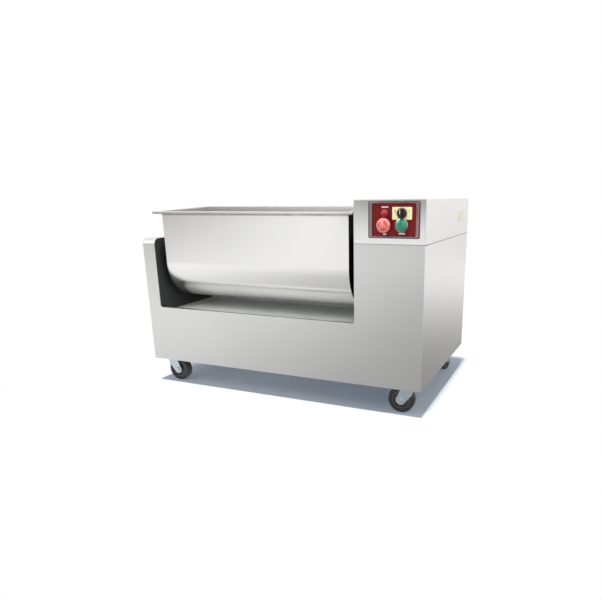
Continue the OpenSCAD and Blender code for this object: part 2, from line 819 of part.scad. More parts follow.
module tank_shell() {
  h0 = rim_z - axis_z - sheet_t;
  color([0.8, 0.81, 0.82]) place() {
    along_x(tank_x0, tank_l) translate([axis_y, axis_z]) difference() {
      union() {
        trough_outline(tank_r);
        translate([tank_r - sheet_t, 0]) square([sheet_t, h0 + rear_rise]);
      }
      trough_outline(tank_r - sheet_t);
      translate([-tank_r + sheet_t, h0 - over]) square([2 * tank_r - 2 * sheet_t, rear_rise + 2 * over]);
    }
    end_wall(tank_x0);
    end_wall(tank_x1 - sheet_t);
  }
}

// Flange with a turned-down edge, sloping up along the two ends to the higher rear wall
module rim_outline(y0, y1) {
  run = 2 * tank_r + 2 * flange_w;
  lift0 = rear_rise * (y0 - axis_y + tank_r + flange_w) / run;
  lift1 = rear_rise * (y1 - axis_y + tank_r + flange_w) / run;
  polygon([[y0, rim_z - sheet_t + lift0], [y1, rim_z - sheet_t + lift1], [y1, rim_z + lift1], [y0, rim_z + lift0]]);
}

module tank_rim() {
  y0 = axis_y - tank_r - flange_w;
  y1 = axis_y + tank_r + flange_w;
  lift_a = rear_rise * flange_w / (y1 - y0);
  color([0.84, 0.85, 0.86]) place() difference() {
    union() {
      along_x(rim_x0, rim_x1 - rim_x0) rim_outline(y0, y1);
      along_x(rim_x0, rim_x1 - rim_x0) {
        translate([y0, rim_z - flange_drop]) square([sheet_t, flange_drop]);
        translate([y1 - sheet_t, rim_z + rear_rise - flange_drop]) square([sheet_t, flange_drop]);
      }
      for (x = [rim_x0, rim_x1 - sheet_t]) {
        along_x(x, sheet_t) polygon([[y0, rim_z - flange_drop], [y1, rim_z + rear_rise - flange_drop],
          [y1, rim_z + rear_rise], [y0, rim_z]]);
      }
    }
    translate([tank_x0, axis_y - tank_r, rim_z - tank_r]) cube([tank_l, 2 * tank_r, 2 * tank_r]);
  }
}

module trunnion(x_wall, dir, len) {
  translate([x_wall, axis_y, axis_z]) rotate([0, dir * 90, 0]) difference() {
    union() {
      translate([0, 0, -sheet_t]) cylinder(r = journal_r, h = len + sheet_t);
      cylinder(r = hub_r, h = hub_t);
    }
    translate([0, 0, -sheet_t - over]) cylinder(r = shaft_r + run_gap, h = len + sheet_t + 2 * over);
  }
}

module trunnions() {
  color([0.7, 0.7, 0.7]) place() {
    trunnion(tank_x0, -1, tank_x0 - quad_x0);
    trunnion(tank_x1, 1, journal_x1 - tank_x1);
  }
}

module shaft_seals() {
  seal_l = 5 * sheet_t;
  color([0.85, 0.85, 0.83]) place() {
    for (x = [tank_x0 + sheet_t, tank_x1 - sheet_t - seal_l]) {
      translate([x, axis_y, axis_z]) rotate([0, 90, 0]) difference() {
        cylinder(r = journal_r * 1.2, h = seal_l);
        translate([0, 0, -over]) cylinder(r = shaft_r + run_gap, h = seal_l + 2 * over);
      }
    }
  }
}

// Mixer

module mixer_shaft() {
  color([0.82, 0.83, 0.84]) place() {
    disc_x(shaft_x0, shaft_x1, axis_y, axis_z, shaft_r);
    disc_x(shaft_x1 - 5 * sheet_t + face_gap, shaft_x1 - 3 * sheet_t, axis_y, axis_z, shaft_r * 1.5);
  }
}

module mixer_paddles() {
  color([0.84, 0.85, 0.86]) place() {
    for (k = [0 : arm_count - 1]) {
      x = tank_x0 + sheet_t + arm_in + k * arm_step;
      flip = k % 2 == 0 ? 1 : -1;
      translate([x, axis_y, axis_z]) rotate([90 * k, 0, 0]) {
        difference() {
          union() {
            cylinder(r = arm_r, h = blade_r - blade_h / 2);
            rotate([0, 90, 0]) cylinder(r = shaft_r * 1.45, h = 3 * arm_r, center = true);
          }
          rotate([0, 90, 0]) cylinder(r = shaft_r + run_gap, h = 4 * arm_r, center = true);
        }
        intersection() {
          rotate([0, 0, flip * blade_twist]) translate([-blade_l / 2, -blade_t / 2, blade_r - blade_h]) {
            cube([blade_l, blade_t, blade_h]);
          }
          rotate([0, 90, 0]) cylinder(r = blade_r, h = blade_l, center = true);
        }
      }
    }
  }
}

// Pulley outline: radius against length, with one groove for each belt
module pulley_outline(r_pitch, r_hub, web) {
  half_out = belt_w / 2 + face_gap;
  half_in = belt_w_in / 2 + face_gap;
  r_out = r_pitch + groove_out - face_gap;
  r_in = r_pitch - groove_in - face_gap;
  difference() {
    union() {
      translate([r_in - belt_h, 0]) square([r_out - r_in + belt_h, pulley_w]);
      translate([0, pulley_w / 2 - web / 2]) square([r_in, web]);
      translate([0, 0]) square([r_hub, pulley_w]);
    }
    for (k = [0 : belt_count - 1]) {
      translate([0, pulley_w / 2 + (k - (belt_count - 1) / 2) * belt_step]) {
        polygon([[r_in, -half_in], [r_out + over, -half_out - over * (half_out - half_in) / (r_out - r_in)],
          [r_out + over, half_out + over * (half_out - half_in) / (r_out - r_in)], [r_in, half_in]]);
      }
    }
  }
}

module driven_pulley() {
  color([0.45, 0.46, 0.47]) place() difference() {
    round_x(pulley_x0, axis_y, axis_z) pulley_outline(driven_r, shaft_r * 1.8, pulley_w / 4);
    disc_x(pulley_x0 - over, pulley_x0 + pulley_w + over, axis_y, axis_z, shaft_r);
    for (a = [0 : 60 : 300]) {
      disc_x(pulley_x0 - over, pulley_x0 + pulley_w + over, axis_y + driven_r * 0.6 * cos(a),
        axis_z + driven_r * 0.6 * sin(a), driven_r * 0.17);
    }
  }
}

module drive_pulley() {
  color([0.45, 0.46, 0.47]) place() {
    round_x(pulley_x0, drive_y, drive_z) pulley_outline(drive_r, drive_r * 0.6, pulley_w);
    disc_x(gear_x1 - gear_l / 4, pulley_x0 + over, drive_y, drive_z, drive_shaft_r);
    disc_x(pulley_x0 + pulley_w - over, pulley_x0 + pulley_w + 2 * sheet_t, drive_y, drive_z, drive_shaft_r * 1.3);
  }
}

module belt_section(r_pitch) {
  polygon([[r_pitch - groove_in, -belt_w_in / 2], [r_pitch + groove_out, -belt_w / 2],
    [r_pitch + groove_out, belt_w / 2], [r_pitch - groove_in, belt_w_in / 2]]);
}

// A belt loop in the y-z plane: two arcs of the belt section and two straight runs
module belt_loop() {
  rotate([90, 0, 90]) rotate([0, 0, belt_psi]) {
    rotate([0, 0, belt_gam]) {
      rotate_extrude(angle = 360 - 2 * belt_gam) belt_section(driven_r);
      rotate([90, 0, 0]) linear_extrude(belt_run) belt_section(driven_r);
    }
    rotate([0, 0, -belt_gam]) {
      translate([0, belt_run, 0]) rotate([90, 0, 0]) linear_extrude(belt_run) belt_section(driven_r);
      translate([driven_r - drive_r, belt_run, 0]) rotate_extrude(angle = 2 * belt_gam) belt_section(drive_r);
    }
  }
}

module v_belts() {
  color([0.1, 0.1, 0.1]) place() {
    for (k = [0 : belt_count - 1]) {
      translate([pulley_x0 + pulley_w / 2 + (k - (belt_count - 1) / 2) * belt_step, axis_y, axis_z]) belt_loop();
    }
  }
}

// Geared motor and its rails
module motor_rails() {
  color([0.6, 0.6, 0.6]) place() {
    for (x = [motor_rail_x, gear_x0 + (gear_l - rail_w) / 2]) {
      translate([x, 2 * sheet_t, rail_z]) difference() {
        cube([rail_w, cab_d - 4 * sheet_t, rail_h]);
        translate([tube_t, -over, -over]) cube([rail_w - 2 * tube_t, cab_d, rail_h - tube_t + over]);
      }
    }
  }
}

module gear_case() {
  foot_h = 4 * tube_t;
  color([0.22, 0.35, 0.5]) place() difference() {
    union() {
      along_x(gear_x0 + gear_l * 0.12, gear_l * 0.76) difference() {
        soft_rect(drive_y - gear_w / 2, rail_top + foot_h, gear_w, drive_z - rail_top + gear_w / 2 - foot_h, gear_w / 6);
      }
      disc_x(gear_x0, gear_x1, drive_y, drive_z, gear_w * 0.36);
      translate([gear_x0 + gear_l * 0.12, drive_y - gear_w * 0.62, rail_top]) cube([gear_l * 0.76, gear_w * 1.24, foot_h]);
      for (i = [-1, 0, 1]) {
        translate([gear_x0 + gear_l / 2 + i * gear_l * 0.25 - tube_t, drive_y - gear_w * 0.54, rail_top]) {
          cube([2 * tube_t, gear_w * 1.08, drive_z - rail_top]);
        }
      }
    }
    disc_x(gear_x1 - gear_l / 2, gear_x1 + over, drive_y, drive_z, drive_shaft_r + run_gap);
  }
}

module motor() {
  fin_count = 28;
  body_l = motor_l * 0.78;
  color([0.22, 0.35, 0.5]) place() {
    translate([gear_x0 - body_l, drive_y, drive_z]) rotate([0, 90, 0]) {
      cylinder(r = motor_r * 0.86, h = body_l);
      translate([0, 0, body_l - tube_t * 4]) cylinder(r = motor_r, h = tube_t * 4);
    }
    along_x(gear_x0 - body_l + tube_t * 2, body_l - tube_t * 8) translate([drive_y, drive_z]) {
      circle(r = motor_r * 0.88);
      for (k = [0 : fin_count - 1]) {
        rotate([0, 0, k * 360 / fin_count]) translate([motor_r * 0.8, -sheet_t / 2]) square([motor_r * 0.18, sheet_t]);
      }
    }
  }
}

// Bolted foot with two saddles under the motor's fins
module motor_foot() {
  color([0.22, 0.35, 0.5]) place() difference() {
    union() {
      translate([motor_rail_x, drive_y - motor_r * 0.8, rail_top]) cube([rail_w, motor_r * 1.6, 2 * tube_t]);
      for (s = [-1, 1]) {
        translate([motor_rail_x, drive_y + s * motor_r * 0.5 - 3 * tube_t, rail_top]) {
          cube([rail_w, 6 * tube_t, drive_z - rail_top - motor_r * 0.6]);
        }
      }
    }
    disc_x(motor_rail_x - over, motor_rail_x + rail_w + over, drive_y, drive_z, motor_r * 0.98 + face_gap);
  }
}

module motor_fan_cover() {
  cover_l = motor_l * 0.22;
  color([0.16, 0.26, 0.38]) place() translate([gear_x0 - motor_l * 0.78 - cover_l, drive_y, drive_z]) rotate([0, 90, 0]) {
    difference() {
      union() {
        translate([0, 0, cover_l / 3]) cylinder(r = motor_r * 0.95, h = cover_l * 2 / 3);
        cylinder(r1 = motor_r * 0.78, r2 = motor_r * 0.95, h = cover_l / 3);
      }
      translate([0, 0, tube_t]) cylinder(r = motor_r * 0.78 - tube_t, h = cover_l);
      for (k = [0 : 11]) {
        rotate([0, 0, k * 30]) translate([motor_r * 0.45, 0, -over]) cylinder(r = motor_r * 0.07, h = tube_t + 2 * over);
      }
    }
  }
}

module terminal_box() {
  w = motor_r * 1.1;
  z0 = drive_z + motor_r * 0.98 + face_gap;
  color([0.22, 0.35, 0.5]) place() {
    translate([gear_x0 - motor_l * 0.5, drive_y - w / 2, z0]) cube([w, w, w * 0.45]);
    translate([gear_x0 - motor_l * 0.5 - sheet_t, drive_y - w / 2 - sheet_t, z0 + w * 0.45]) {
      cube([w + 2 * sheet_t, w + 2 * sheet_t, 2 * sheet_t]);
    }
  }
}

// Control box
module control_box_cover() {
  soft = 1.5 * sheet_t;
  color([0.8, 0.81, 0.82]) place() {
    along_y(0, cab_d) difference() {
      union() {
        translate([right_x, seam_z]) square([right_w, box_h - soft]);
        translate([right_x + soft, seam_z]) square([right_w - 2 * soft, box_h]);
        for (x = [right_x + soft, cab_w - soft]) {
          translate([x, top_z - soft]) circle(r = soft);
        }
      }
      translate([right_x + sheet_t, seam_z - over]) square([right_w - 2 * sheet_t, box_h - sheet_t + over]);
      polygon([[cab_w - seam_v, seam_z], [cab_w, seam_z + seam_v], [cab_w + over, seam_z + seam_v],
        [cab_w + over, seam_z - over], [cab_w - seam_v, seam_z - over]]);
    }
  }
}

module device_hole(x, z) {
  disc_y(x, -bezel_t, sheet_t + over, z, barrel_r + hole_gap);
}

module device_holes() {
  device_hole(col_a, row_a_z);
  device_hole(col_b, row_a_z);
  device_hole(col_a, row_b_z);
  device_hole(col_b, row_b_z);
}

module control_box_front() {
  color([0.8, 0.81, 0.82]) place() difference() {
    along_y(0, sheet_t) {
      translate([right_x + sheet_t, seam_z + over]) square([right_w - 2 * sheet_t, box_h - sheet_t - over]);
    }
    device_holes();
  }
}

module control_box_rear() {
  color([0.78, 0.79, 0.8]) place() {
    along_y(cab_d - sheet_t, sheet_t) {
      translate([right_x + sheet_t, seam_z]) square([right_w - 2 * sheet_t, box_h - sheet_t]);
    }
  }
}

module panel_bezel() {
  soft = 2 * sheet_t;
  color([0.8, 0.8, 0.81]) place() {
    along_y(-bezel_t, bezel_t) difference() {
      soft_rect(bezel_x, bezel_z0, bezel_w, bezel_h, soft);
      translate([bezel_x + bezel_side, bezel_z0 + bezel_bar]) square([bezel_w - 2 * bezel_side, bezel_h - 2 * bezel_bar]);
    }
  }
}

module panel_plate() {
  color([0.45, 0.03, 0.03]) place() difference() {
    along_y(panel_y, plate_front_t) {
      translate([bezel_x + bezel_side, bezel_z0 + bezel_bar]) square([bezel_w - 2 * bezel_side, bezel_h - 2 * bezel_bar]);
    }
    device_holes();
  }
}

module legend_plate() {
  color([0.85, 0.72, 0.1]) place() difference() {
    along_y(panel_y - legend_t, legend_t) soft_rect(col_b - legend_w / 2, row_b_z - legend_h / 2, legend_w, legend_h, sheet_t);
    device_holes();
  }
}

// Ring, barrel and back nut of one control
module ring_and_barrel(x, z, seat, ring_r, ring_t) {
  color([0.6, 0.61, 0.62]) round_front(x, 0, z) difference() {
    union() {
      translate([0, -barrel_end]) square([barrel_r, barrel_end + seat]);
      translate([0, seat]) square([ring_r, ring_t - sheet_t / 2]);
      translate([0, seat]) square([ring_r - sheet_t / 2, ring_t]);
      translate([0, -sheet_t - 2 * sheet_t]) square([barrel_r + 2 * sheet_t, 2 * sheet_t]);
    }
    translate([-over, -barrel_end - over]) square([stem_r + run_gap + over, barrel_end + seat + ring_t + 2 * over]);
  }
}

module control_collars() {
  place() {
    ring_and_barrel(col_a, row_a_z, plate_front_t, start_r - 3 * sheet_t / 2, collar_t);
    ring_and_barrel(col_b, row_a_z, plate_front_t, start_r - 3 * sheet_t / 2, collar_t);
    ring_and_barrel(col_a, row_b_z, plate_front_t, lamp_r, collar_t);
    ring_and_barrel(col_b, row_b_z, plate_front_t + legend_t, select_r, collar_t);
  }
}

module lamp_lens() {
  lens_r = lamp_r * 0.82;
  seat = plate_front_t + collar_t;
  color([0.8, 0.1, 0.06, 0.6]) place() round_front(col_a, 0, row_b_z) {
    translate([0, -barrel_end + sheet_t]) square([stem_r, barrel_end - sheet_t + seat]);
    translate([0, seat]) square([lens_r, sheet_t]);
    intersection() {
      translate([0, seat + sheet_t - lens_r * 0.4]) circle(r = lens_r * 1.077);
      translate([0, seat + sheet_t]) square([lens_r, lens_r]);
    }
  }
}

module contact_blocks() {
  w = 1.4 * barrel_r;
  color([0.15, 0.16, 0.17]) place() {
    for (x = [col_a, col_b]) {
      for (z = [row_a_z, row_b_z]) {
        translate([x - w, block_y, z - w]) cube([2 * w, 3.4 * w, 2 * w]);
        for (s = [-1, 1]) {
          translate([x + s * (barrel_r + sheet_t / 2 + run_gap) - sheet_t / 2, sheet_t * 3 + face_gap, z - w / 2]) {
            cube([sheet_t, block_y - 3 * sheet_t, w]);
          }
        }
      }
    }
  }
}

module contactor() {
  z0 = seam_z + box_h * 0.2;
  w = right_w * 0.24;
  x0 = right_x + sheet_t;
  color([0.2, 0.21, 0.22]) place() {
    translate([x0, cab_d * 0.4, z0]) cube([3 * sheet_t, cab_d * 0.4, box_h * 0.6]);
    for (k = [0, 1]) {
      translate([x0 + 3 * sheet_t, cab_d * 0.45 + k * cab_d * 0.17, z0 + box_h * 0.06]) cube([w * 1.3, w, box_h * 0.48]);
      translate([x0 + 3 * sheet_t + w * 1.3, cab_d * 0.45 + k * cab_d * 0.17 + w * 0.2, z0 + box_h * 0.15]) {
        cube([w * 0.3, w * 0.6, box_h * 0.3]);
      }
    }
  }
}

module side_plate() {
  plate_l = cab_d / 8;
  color([0.72, 0.7, 0.6]) place() {
    along_x(cab_w, plate_side_t) soft_rect(cab_d * 0.725, seam_z + box_h * 0.37, plate_l, box_h * 0.28, sheet_t);
  }
}

// The cable passes along this bore; its outer end is the mount
module cable_gland() {
  r_nut = 2.6 * gland_bore_r;
  color([0.1, 0.1, 0.1]) place() difference() {
    union() {
      disc_y(gland_x, cab_d - 6 * sheet_t, cab_d + gland_out / 4, gland_z, 1.6 * gland_bore_r);
      translate([gland_x, cab_d + gland_out / 3, gland_z]) rotate([90, 0, 0]) cylinder(r = r_nut, h = gland_out / 3, $fn = 6);
      translate([gland_x, cab_d + gland_out * 0.8, gland_z]) rotate([90, 0, 0]) cylinder(r = r_nut * 0.86, h = gland_out * 0.5);
      translate([gland_x, cab_d + gland_out, gland_z]) rotate([90, 0, 0]) {
        cylinder(r1 = r_nut * 0.56, r2 = r_nut * 0.86, h = gland_out * 0.2);
      }
      translate([gland_x, cab_d - sheet_t, gland_z]) rotate([90, 0, 0]) cylinder(r = r_nut, h = 2 * sheet_t, $fn = 6);
    }
    disc_y(gland_x, cab_d - 7 * sheet_t, cab_d + gland_out + over, gland_z, gland_bore_r);
  }
}

module panel_screws() {
  color([0.8, 0.8, 0.8]) place() {
    for (i = rear_screw_xs) {
      for (z = rear_screw_z) {
        translate([i * cab_w, cab_d, z]) rotate([-90, 0, 0]) {
          translate([0, 0, -screw_l]) cylinder(r = screw_r, h = screw_l);
          difference() {
            cylinder(r1 = screw_head_r, r2 = screw_head_r * 0.7, h = screw_head_t);
            translate([0, 0, screw_head_t / 2]) cylinder(r = screw_head_r * 0.4, h = screw_head_t, $fn = 6);
          }
        }
      }
    }
  }
}

// Moving controls
module button_outline(r) {
  seat = plate_front_t + collar_t + head_gap;
  rim = head_t * 0.35;
  translate([0, -barrel_end + press + sheet_t]) square([stem_r, barrel_end - press - sheet_t + seat + over]);
  translate([0, seat]) square([r * 0.86, rim]);
  translate([0, seat + rim * 0.3]) square([r, rim * 0.7]);
  intersection() {
    translate([0, seat + rim - (r * r - (head_t - rim) * (head_t - rim)) / (2 * (head_t - rim))]) {
      circle(r = (r * r + (head_t - rim) * (head_t - rim)) / (2 * (head_t - rim)));
    }
    translate([0, seat + rim]) square([r, head_t]);
  }
}

module stop_button() {
  color([0.75, 0.04, 0.03]) place() round_front(col_a, 0, row_a_z) button_outline(stop_r);
}

module start_button() {
  seat = plate_front_t + collar_t + head_gap;
  rim = head_t * 0.3;
  dome = head_t * 0.3;
  color([0.05, 0.45, 0.2]) place() round_front(col_b, 0, row_a_z) {
    translate([0, -barrel_end + press + sheet_t]) square([stem_r, barrel_end - press - sheet_t + seat + over]);
    translate([0, seat]) square([start_r, rim]);
    intersection() {
      translate([0, seat + rim - (start_r * start_r - dome * dome) / (2 * dome)]) {
        circle(r = (start_r * start_r + dome * dome) / (2 * dome));
      }
      translate([0, seat + rim]) square([start_r, dome]);
    }
  }
}

module selector_knob() {
  seat = plate_front_t + legend_t + collar_t + face_gap;
  grip_w = select_r * 0.5;
  color([0.05, 0.05, 0.05]) place() {
    round_front(col_b, 0, row_b_z) {
      translate([0, -barrel_end + sheet_t]) square([stem_r, barrel_end - sheet_t + seat + over]);
      translate([0, seat]) square([select_r * 0.88, 3 * sheet_t]);
    }
    along_y(-seat - 10 * sheet_t, 9 * sheet_t) {
      soft_rect(col_b - grip_w / 2, row_b_z - select_r * 0.95, grip_w, select_r * 1.9, grip_w / 3);
    }
  }
}

base_frame();
caster_plates();
caster_bolts();
motor_rails();
front_panel();
left_side_panel();
left_inner_wall();
left_top_cap();
right_inner_wall();
right_side_panel();
rear_panel();
rear_deck();
well_liner();
bearing_plates();
bearing_units();
bearing_bolts();
gear_case();
motor();
motor_foot();
motor_fan_cover();
terminal_box();
v_belts();
control_box_cover();
control_box_front();
control_box_rear();
panel_bezel();
panel_plate();
legend_plate();
control_collars();
lamp_lens();
contact_blocks();
contactor();
side_plate();
cable_gland();
panel_screws();
tank_shell();
tank_rim();
trunnions();
tilt_quadrant();
shaft_seals();
mixer_shaft();
mixer_paddles();
driven_pulley();
drive_pulley();
stop_button();
start_button();
selector_knob();
clamp_knob();
caster_fork(inset, inset, swivels[0]);  // caster_fork_fl
caster_fork(cab_w - inset, inset, swivels[1]);  // caster_fork_fr
caster_fork(inset, cab_d - inset, swivels[2]);  // caster_fork_rl
caster_fork(cab_w - inset, cab_d - inset, swivels[3]);  // caster_fork_rr
wheel_core(inset, inset, swivels[0]);  // wheel_core_fl
wheel_core(cab_w - inset, inset, swivels[1]);  // wheel_core_fr
wheel_core(inset, cab_d - inset, swivels[2]);  // wheel_core_rl
wheel_core(cab_w - inset, cab_d - inset, swivels[3]);  // wheel_core_rr
tyre(inset, inset, swivels[0]);  // tyre_fl
tyre(cab_w - inset, inset, swivels[1]);  // tyre_fr
tyre(inset, cab_d - inset, swivels[2]);  // tyre_rl
tyre(cab_w - inset, cab_d - inset, swivels[3]);  // tyre_rr
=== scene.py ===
import json
import math

import bmesh
import bpy
from mathutils import Matrix, Vector


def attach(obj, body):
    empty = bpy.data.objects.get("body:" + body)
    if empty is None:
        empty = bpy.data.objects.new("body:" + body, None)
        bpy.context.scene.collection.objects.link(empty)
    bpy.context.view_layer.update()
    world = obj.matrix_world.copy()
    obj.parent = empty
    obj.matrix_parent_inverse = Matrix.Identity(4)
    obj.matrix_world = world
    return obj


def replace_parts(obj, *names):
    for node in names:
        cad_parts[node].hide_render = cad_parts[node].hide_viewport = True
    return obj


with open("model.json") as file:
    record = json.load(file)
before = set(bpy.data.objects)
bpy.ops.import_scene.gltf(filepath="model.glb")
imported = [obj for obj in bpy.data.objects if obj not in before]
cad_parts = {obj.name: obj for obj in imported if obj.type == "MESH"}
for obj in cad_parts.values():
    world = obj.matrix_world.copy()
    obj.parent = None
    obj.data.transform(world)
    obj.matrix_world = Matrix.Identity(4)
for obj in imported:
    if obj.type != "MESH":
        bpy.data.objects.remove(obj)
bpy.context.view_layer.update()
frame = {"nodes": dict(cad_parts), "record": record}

# ---------------------------------------------------------------- measures
# Metres. They repeat the named values of part.scad.
MM = 0.001
SHIFT_X, SHIFT_Y = -580.5 * MM, -352.5 * MM
AXIS_Y, AXIS_Z = 186 * MM, 521 * MM
TROUGH_R, RIM_Z, REAR_RISE = 157 * MM, 725 * MM, 15 * MM
TROUGH_X0, TROUGH_X1 = 91 * MM, 914 * MM
SHEET, SEAM_Z = 2 * MM, 619 * MM
COL_A, COL_B = 1059 * MM, 1119 * MM
ROW_A, ROW_B = 683 * MM, 722 * MM
FRAME_X, FRAME_Z, FRAME_W, FRAME_H = 1000 * MM, 640 * MM, 180 * MM, 121 * MM
FRAME_SIDE, FRAME_BAR, FRAME_T = 15 * MM, 8 * MM, 5 * MM
PLATE_T, LEGEND_T, COLLAR_T = 2 * MM, 1 * MM, 6 * MM
STOP_R, LENS_R = 24 * MM, 11.07 * MM
HEAD_GAP, HEAD_T = 5 * MM, 18 * MM
ARM_X0, ARM_STEP, ARM_COUNT, HUB_R = 155 * MM, 99.286 * MM, 8, 29.5 * MM
CASTERS = {
    "fl": (57 * MM, 57 * MM), "fr": (1143 * MM, 57 * MM),
    "rl": (57 * MM, 653 * MM), "rr": (1143 * MM, 653 * MM),
}
RACE_R, RACE_Z, RACE_BALL, RACE_COUNT = 30.2 * MM, 115.3 * MM, 2.2 * MM, 36


def cab(x, y, z):
    """A point of the cabinet's own coordinates in the shared frame."""
    return Vector((x + SHIFT_X, y + SHIFT_Y, z))


def add_object(name, data):
    obj = bpy.data.objects.new(name, data)
    bpy.context.collection.objects.link(obj)
    return obj


# ---------------------------------------------------------------- node helpers
WHITE = (1, 1, 1)
COLOUR, NUMBER, VECTOR = "NodeSocketColor", "NodeSocketFloat", "NodeSocketVector"
SKIN = [("Color", COLOUR), ("Roughness", NUMBER), ("Height", NUMBER)]


def new_tree(name, kind, inputs, outputs):
    """A node tree with named inputs and outputs; an input whose value is None keeps its own."""
    tree = bpy.data.node_groups.new(name, kind)
    for title, socket_type, value in inputs:
        socket = tree.interface.new_socket(name=title, in_out="INPUT", socket_type=socket_type)
        if value is not None:
            socket.default_value = value
    for title, socket_type in outputs:
        tree.interface.new_socket(name=title, in_out="OUTPUT", socket_type=socket_type)
    return tree, tree.nodes.new("NodeGroupInput"), tree.nodes.new("NodeGroupOutput")


def feed(links, socket, value):
    """Links a socket to another node's output, or sets it to a plain value."""
    if isinstance(value, bpy.types.NodeSocket):
        links.new(value, socket)
    else:
        socket.default_value = value


def math_node(nodes, links, kind, a, b=None):
    node = nodes.new("ShaderNodeMath")
    node.operation = kind
    feed(links, node.inputs[0], a)
    if b is not None:
        feed(links, node.inputs[1], b)
    return node.outputs[0]


def from_middle(nodes, links, value):
    """A noise of 0 to 1 turned into one about 0."""
    return math_node(nodes, links, "SUBTRACT", value, 0.5)


def vector_node(nodes, links, kind, a, b=None):
    node = nodes.new("ShaderNodeVectorMath")
    node.operation = kind
    feed(links, node.inputs[0], a)
    if b is not None:
        feed(links, node.inputs[1], b)
    return node


def mix_colour(nodes, links, factor, a, b):
    node = nodes.new("ShaderNodeMix")
    node.data_type = "RGBA"
    feed(links, node.inputs["Factor"], factor)
    feed(links, node.inputs[6], a)
    feed(links, node.inputs[7], b)
    return node.outputs[2]


def noise_node(nodes, links, vector, scale, detail=3.0, rough=0.55):
    node = nodes.new("ShaderNodeTexNoise")
    node.inputs["Detail"].default_value = detail
    node.inputs["Roughness"].default_value = rough
    feed(links, node.inputs["Scale"], scale)
    links.new(vector, node.inputs["Vector"])
    return node.outputs["Fac"]


def map_range(nodes, links, value, low, high):
    """0 at low and below, 1 at high and above, with a soft start and end between."""
    node = nodes.new("ShaderNodeMapRange")
    node.interpolation_type = "SMOOTHSTEP"
    node.inputs["From Min"].default_value = low
    node.inputs["From Max"].default_value = high
    links.new(value, node.inputs["Value"])
    return node.outputs["Result"]


def object_place(nodes):
    return nodes.new("ShaderNodeTexCoord").outputs["Object"]


def emission(nodes, links, colour):
    node = nodes.new("ShaderNodeEmission")
    feed(links, node.inputs["Color"], colour)
    return node.outputs[0]


def bare_material(name):
    """A material with only its output node; also its nodes, its links and the surface socket."""
    mat = bpy.data.materials.new(name)
    mat.use_nodes = True
    nodes = mat.node_tree.nodes
    nodes.clear()
    surface = nodes.new("ShaderNodeOutputMaterial").inputs["Surface"]
    return mat, nodes, mat.node_tree.links, surface


# ---------------------------------------------------------------- camera and studio
IMAGE_W, IMAGE_H = 602, 600
FOCAL_PX = 533.5
AXIS_PX = (350, 350)
YAW, PITCH, ROLL = (math.radians(a) for a in (-22.90, -15.97, -0.47))
CAMERA_AT = cab(1.662, -1.738, 0.774)
SENSOR_MM = 36
CLIP_NEAR, CLIP_FAR = 0.05, 60


def set_camera():
    """The photograph's own view: place, direction and focal length as fitted to it."""
    forward = Vector((math.sin(YAW) * math.cos(PITCH),
                      math.cos(YAW) * math.cos(PITCH),
                      math.sin(PITCH)))
    level = Vector((math.cos(YAW), -math.sin(YAW), 0))
    lift = level.cross(forward)
    right = level * math.cos(ROLL) + lift * math.sin(ROLL)
    up = lift * math.cos(ROLL) - level * math.sin(ROLL)
    data = bpy.data.cameras.new("studio_camera")
    data.sensor_width = SENSOR_MM
    data.lens = SENSOR_MM * FOCAL_PX / IMAGE_W
    data.shift_x = (IMAGE_W / 2 - AXIS_PX[0]) / IMAGE_W
    data.shift_y = (AXIS_PX[1] - IMAGE_H / 2) / IMAGE_W
    data.clip_start, data.clip_end = CLIP_NEAR, CLIP_FAR
    obj = add_object("studio_camera", data)
    turn = Matrix((right, up, -forward)).transposed().to_4x4()
    obj.matrix_world = Matrix.Translation(CAMERA_AT) @ turn
    bpy.context.scene.camera = obj


SOFTBOX_AIM = (0, 0, 0.4)
# Each softbox: place, size and power in watts.
SOFTBOXES = {
    "key_softbox": ((-1.6, -2.4, 2.6), (1.8, 1.4), 29),
    "fill_softbox": ((2.6, -0.6, 1.8), (1.6, 1.6), 24),
}
LAMP_AT, LAMP_POWER = (0, 0, 4), 5.0
LAMP_SPREAD, LAMP_TILT = math.radians(4), math.radians(9)


def set_softboxes():
    for name, (at, size, power) in SOFTBOXES.items():
        data = bpy.data.lights.new(name, "AREA")
        data.shape = "RECTANGLE"
        data.size, data.size_y = size
        data.energy = power
        obj = add_object(name, data)
        obj.location = at
        obj.rotation_mode = "QUATERNION"
        obj.rotation_quaternion = (Vector(SOFTBOX_AIM) - Vector(at)).to_track_quat("-Z", "Y")


def set_overhead_lamp():
    """A far lamp above, a little to the front, which draws the shadow under the cabinet."""
    data = bpy.data.lights.new("overhead_lamp", "SUN")
    data.energy = LAMP_POWER
    data.angle = LAMP_SPREAD
    obj = add_object("overhead_lamp", data)
    obj.location = LAMP_AT
    obj.rotation_euler.x = LAMP_TILT
    obj.visible_glossy = False


SKY_TONE, SKY_LIGHT = (0.96, 0.98, 1), 0.42


def background(nodes, colour, strength):
    node = nodes.new("ShaderNodeBackground")
    node.inputs["Color"].default_value = (*colour, 1)
    node.inputs["Strength"].default_value = strength
    return node


def backdrop_rays(nodes, links):
    """1 for a ray that shows the backdrop: to the camera, in a reflection or through glass."""
    path = nodes.new("ShaderNodeLightPath")
    seen = math_node(nodes, links, "MAXIMUM",
                     path.outputs["Is Camera Ray"], path.outputs["Is Glossy Ray"])
    return math_node(nodes, links, "MAXIMUM", seen, path.outputs["Is Transmission Ray"])


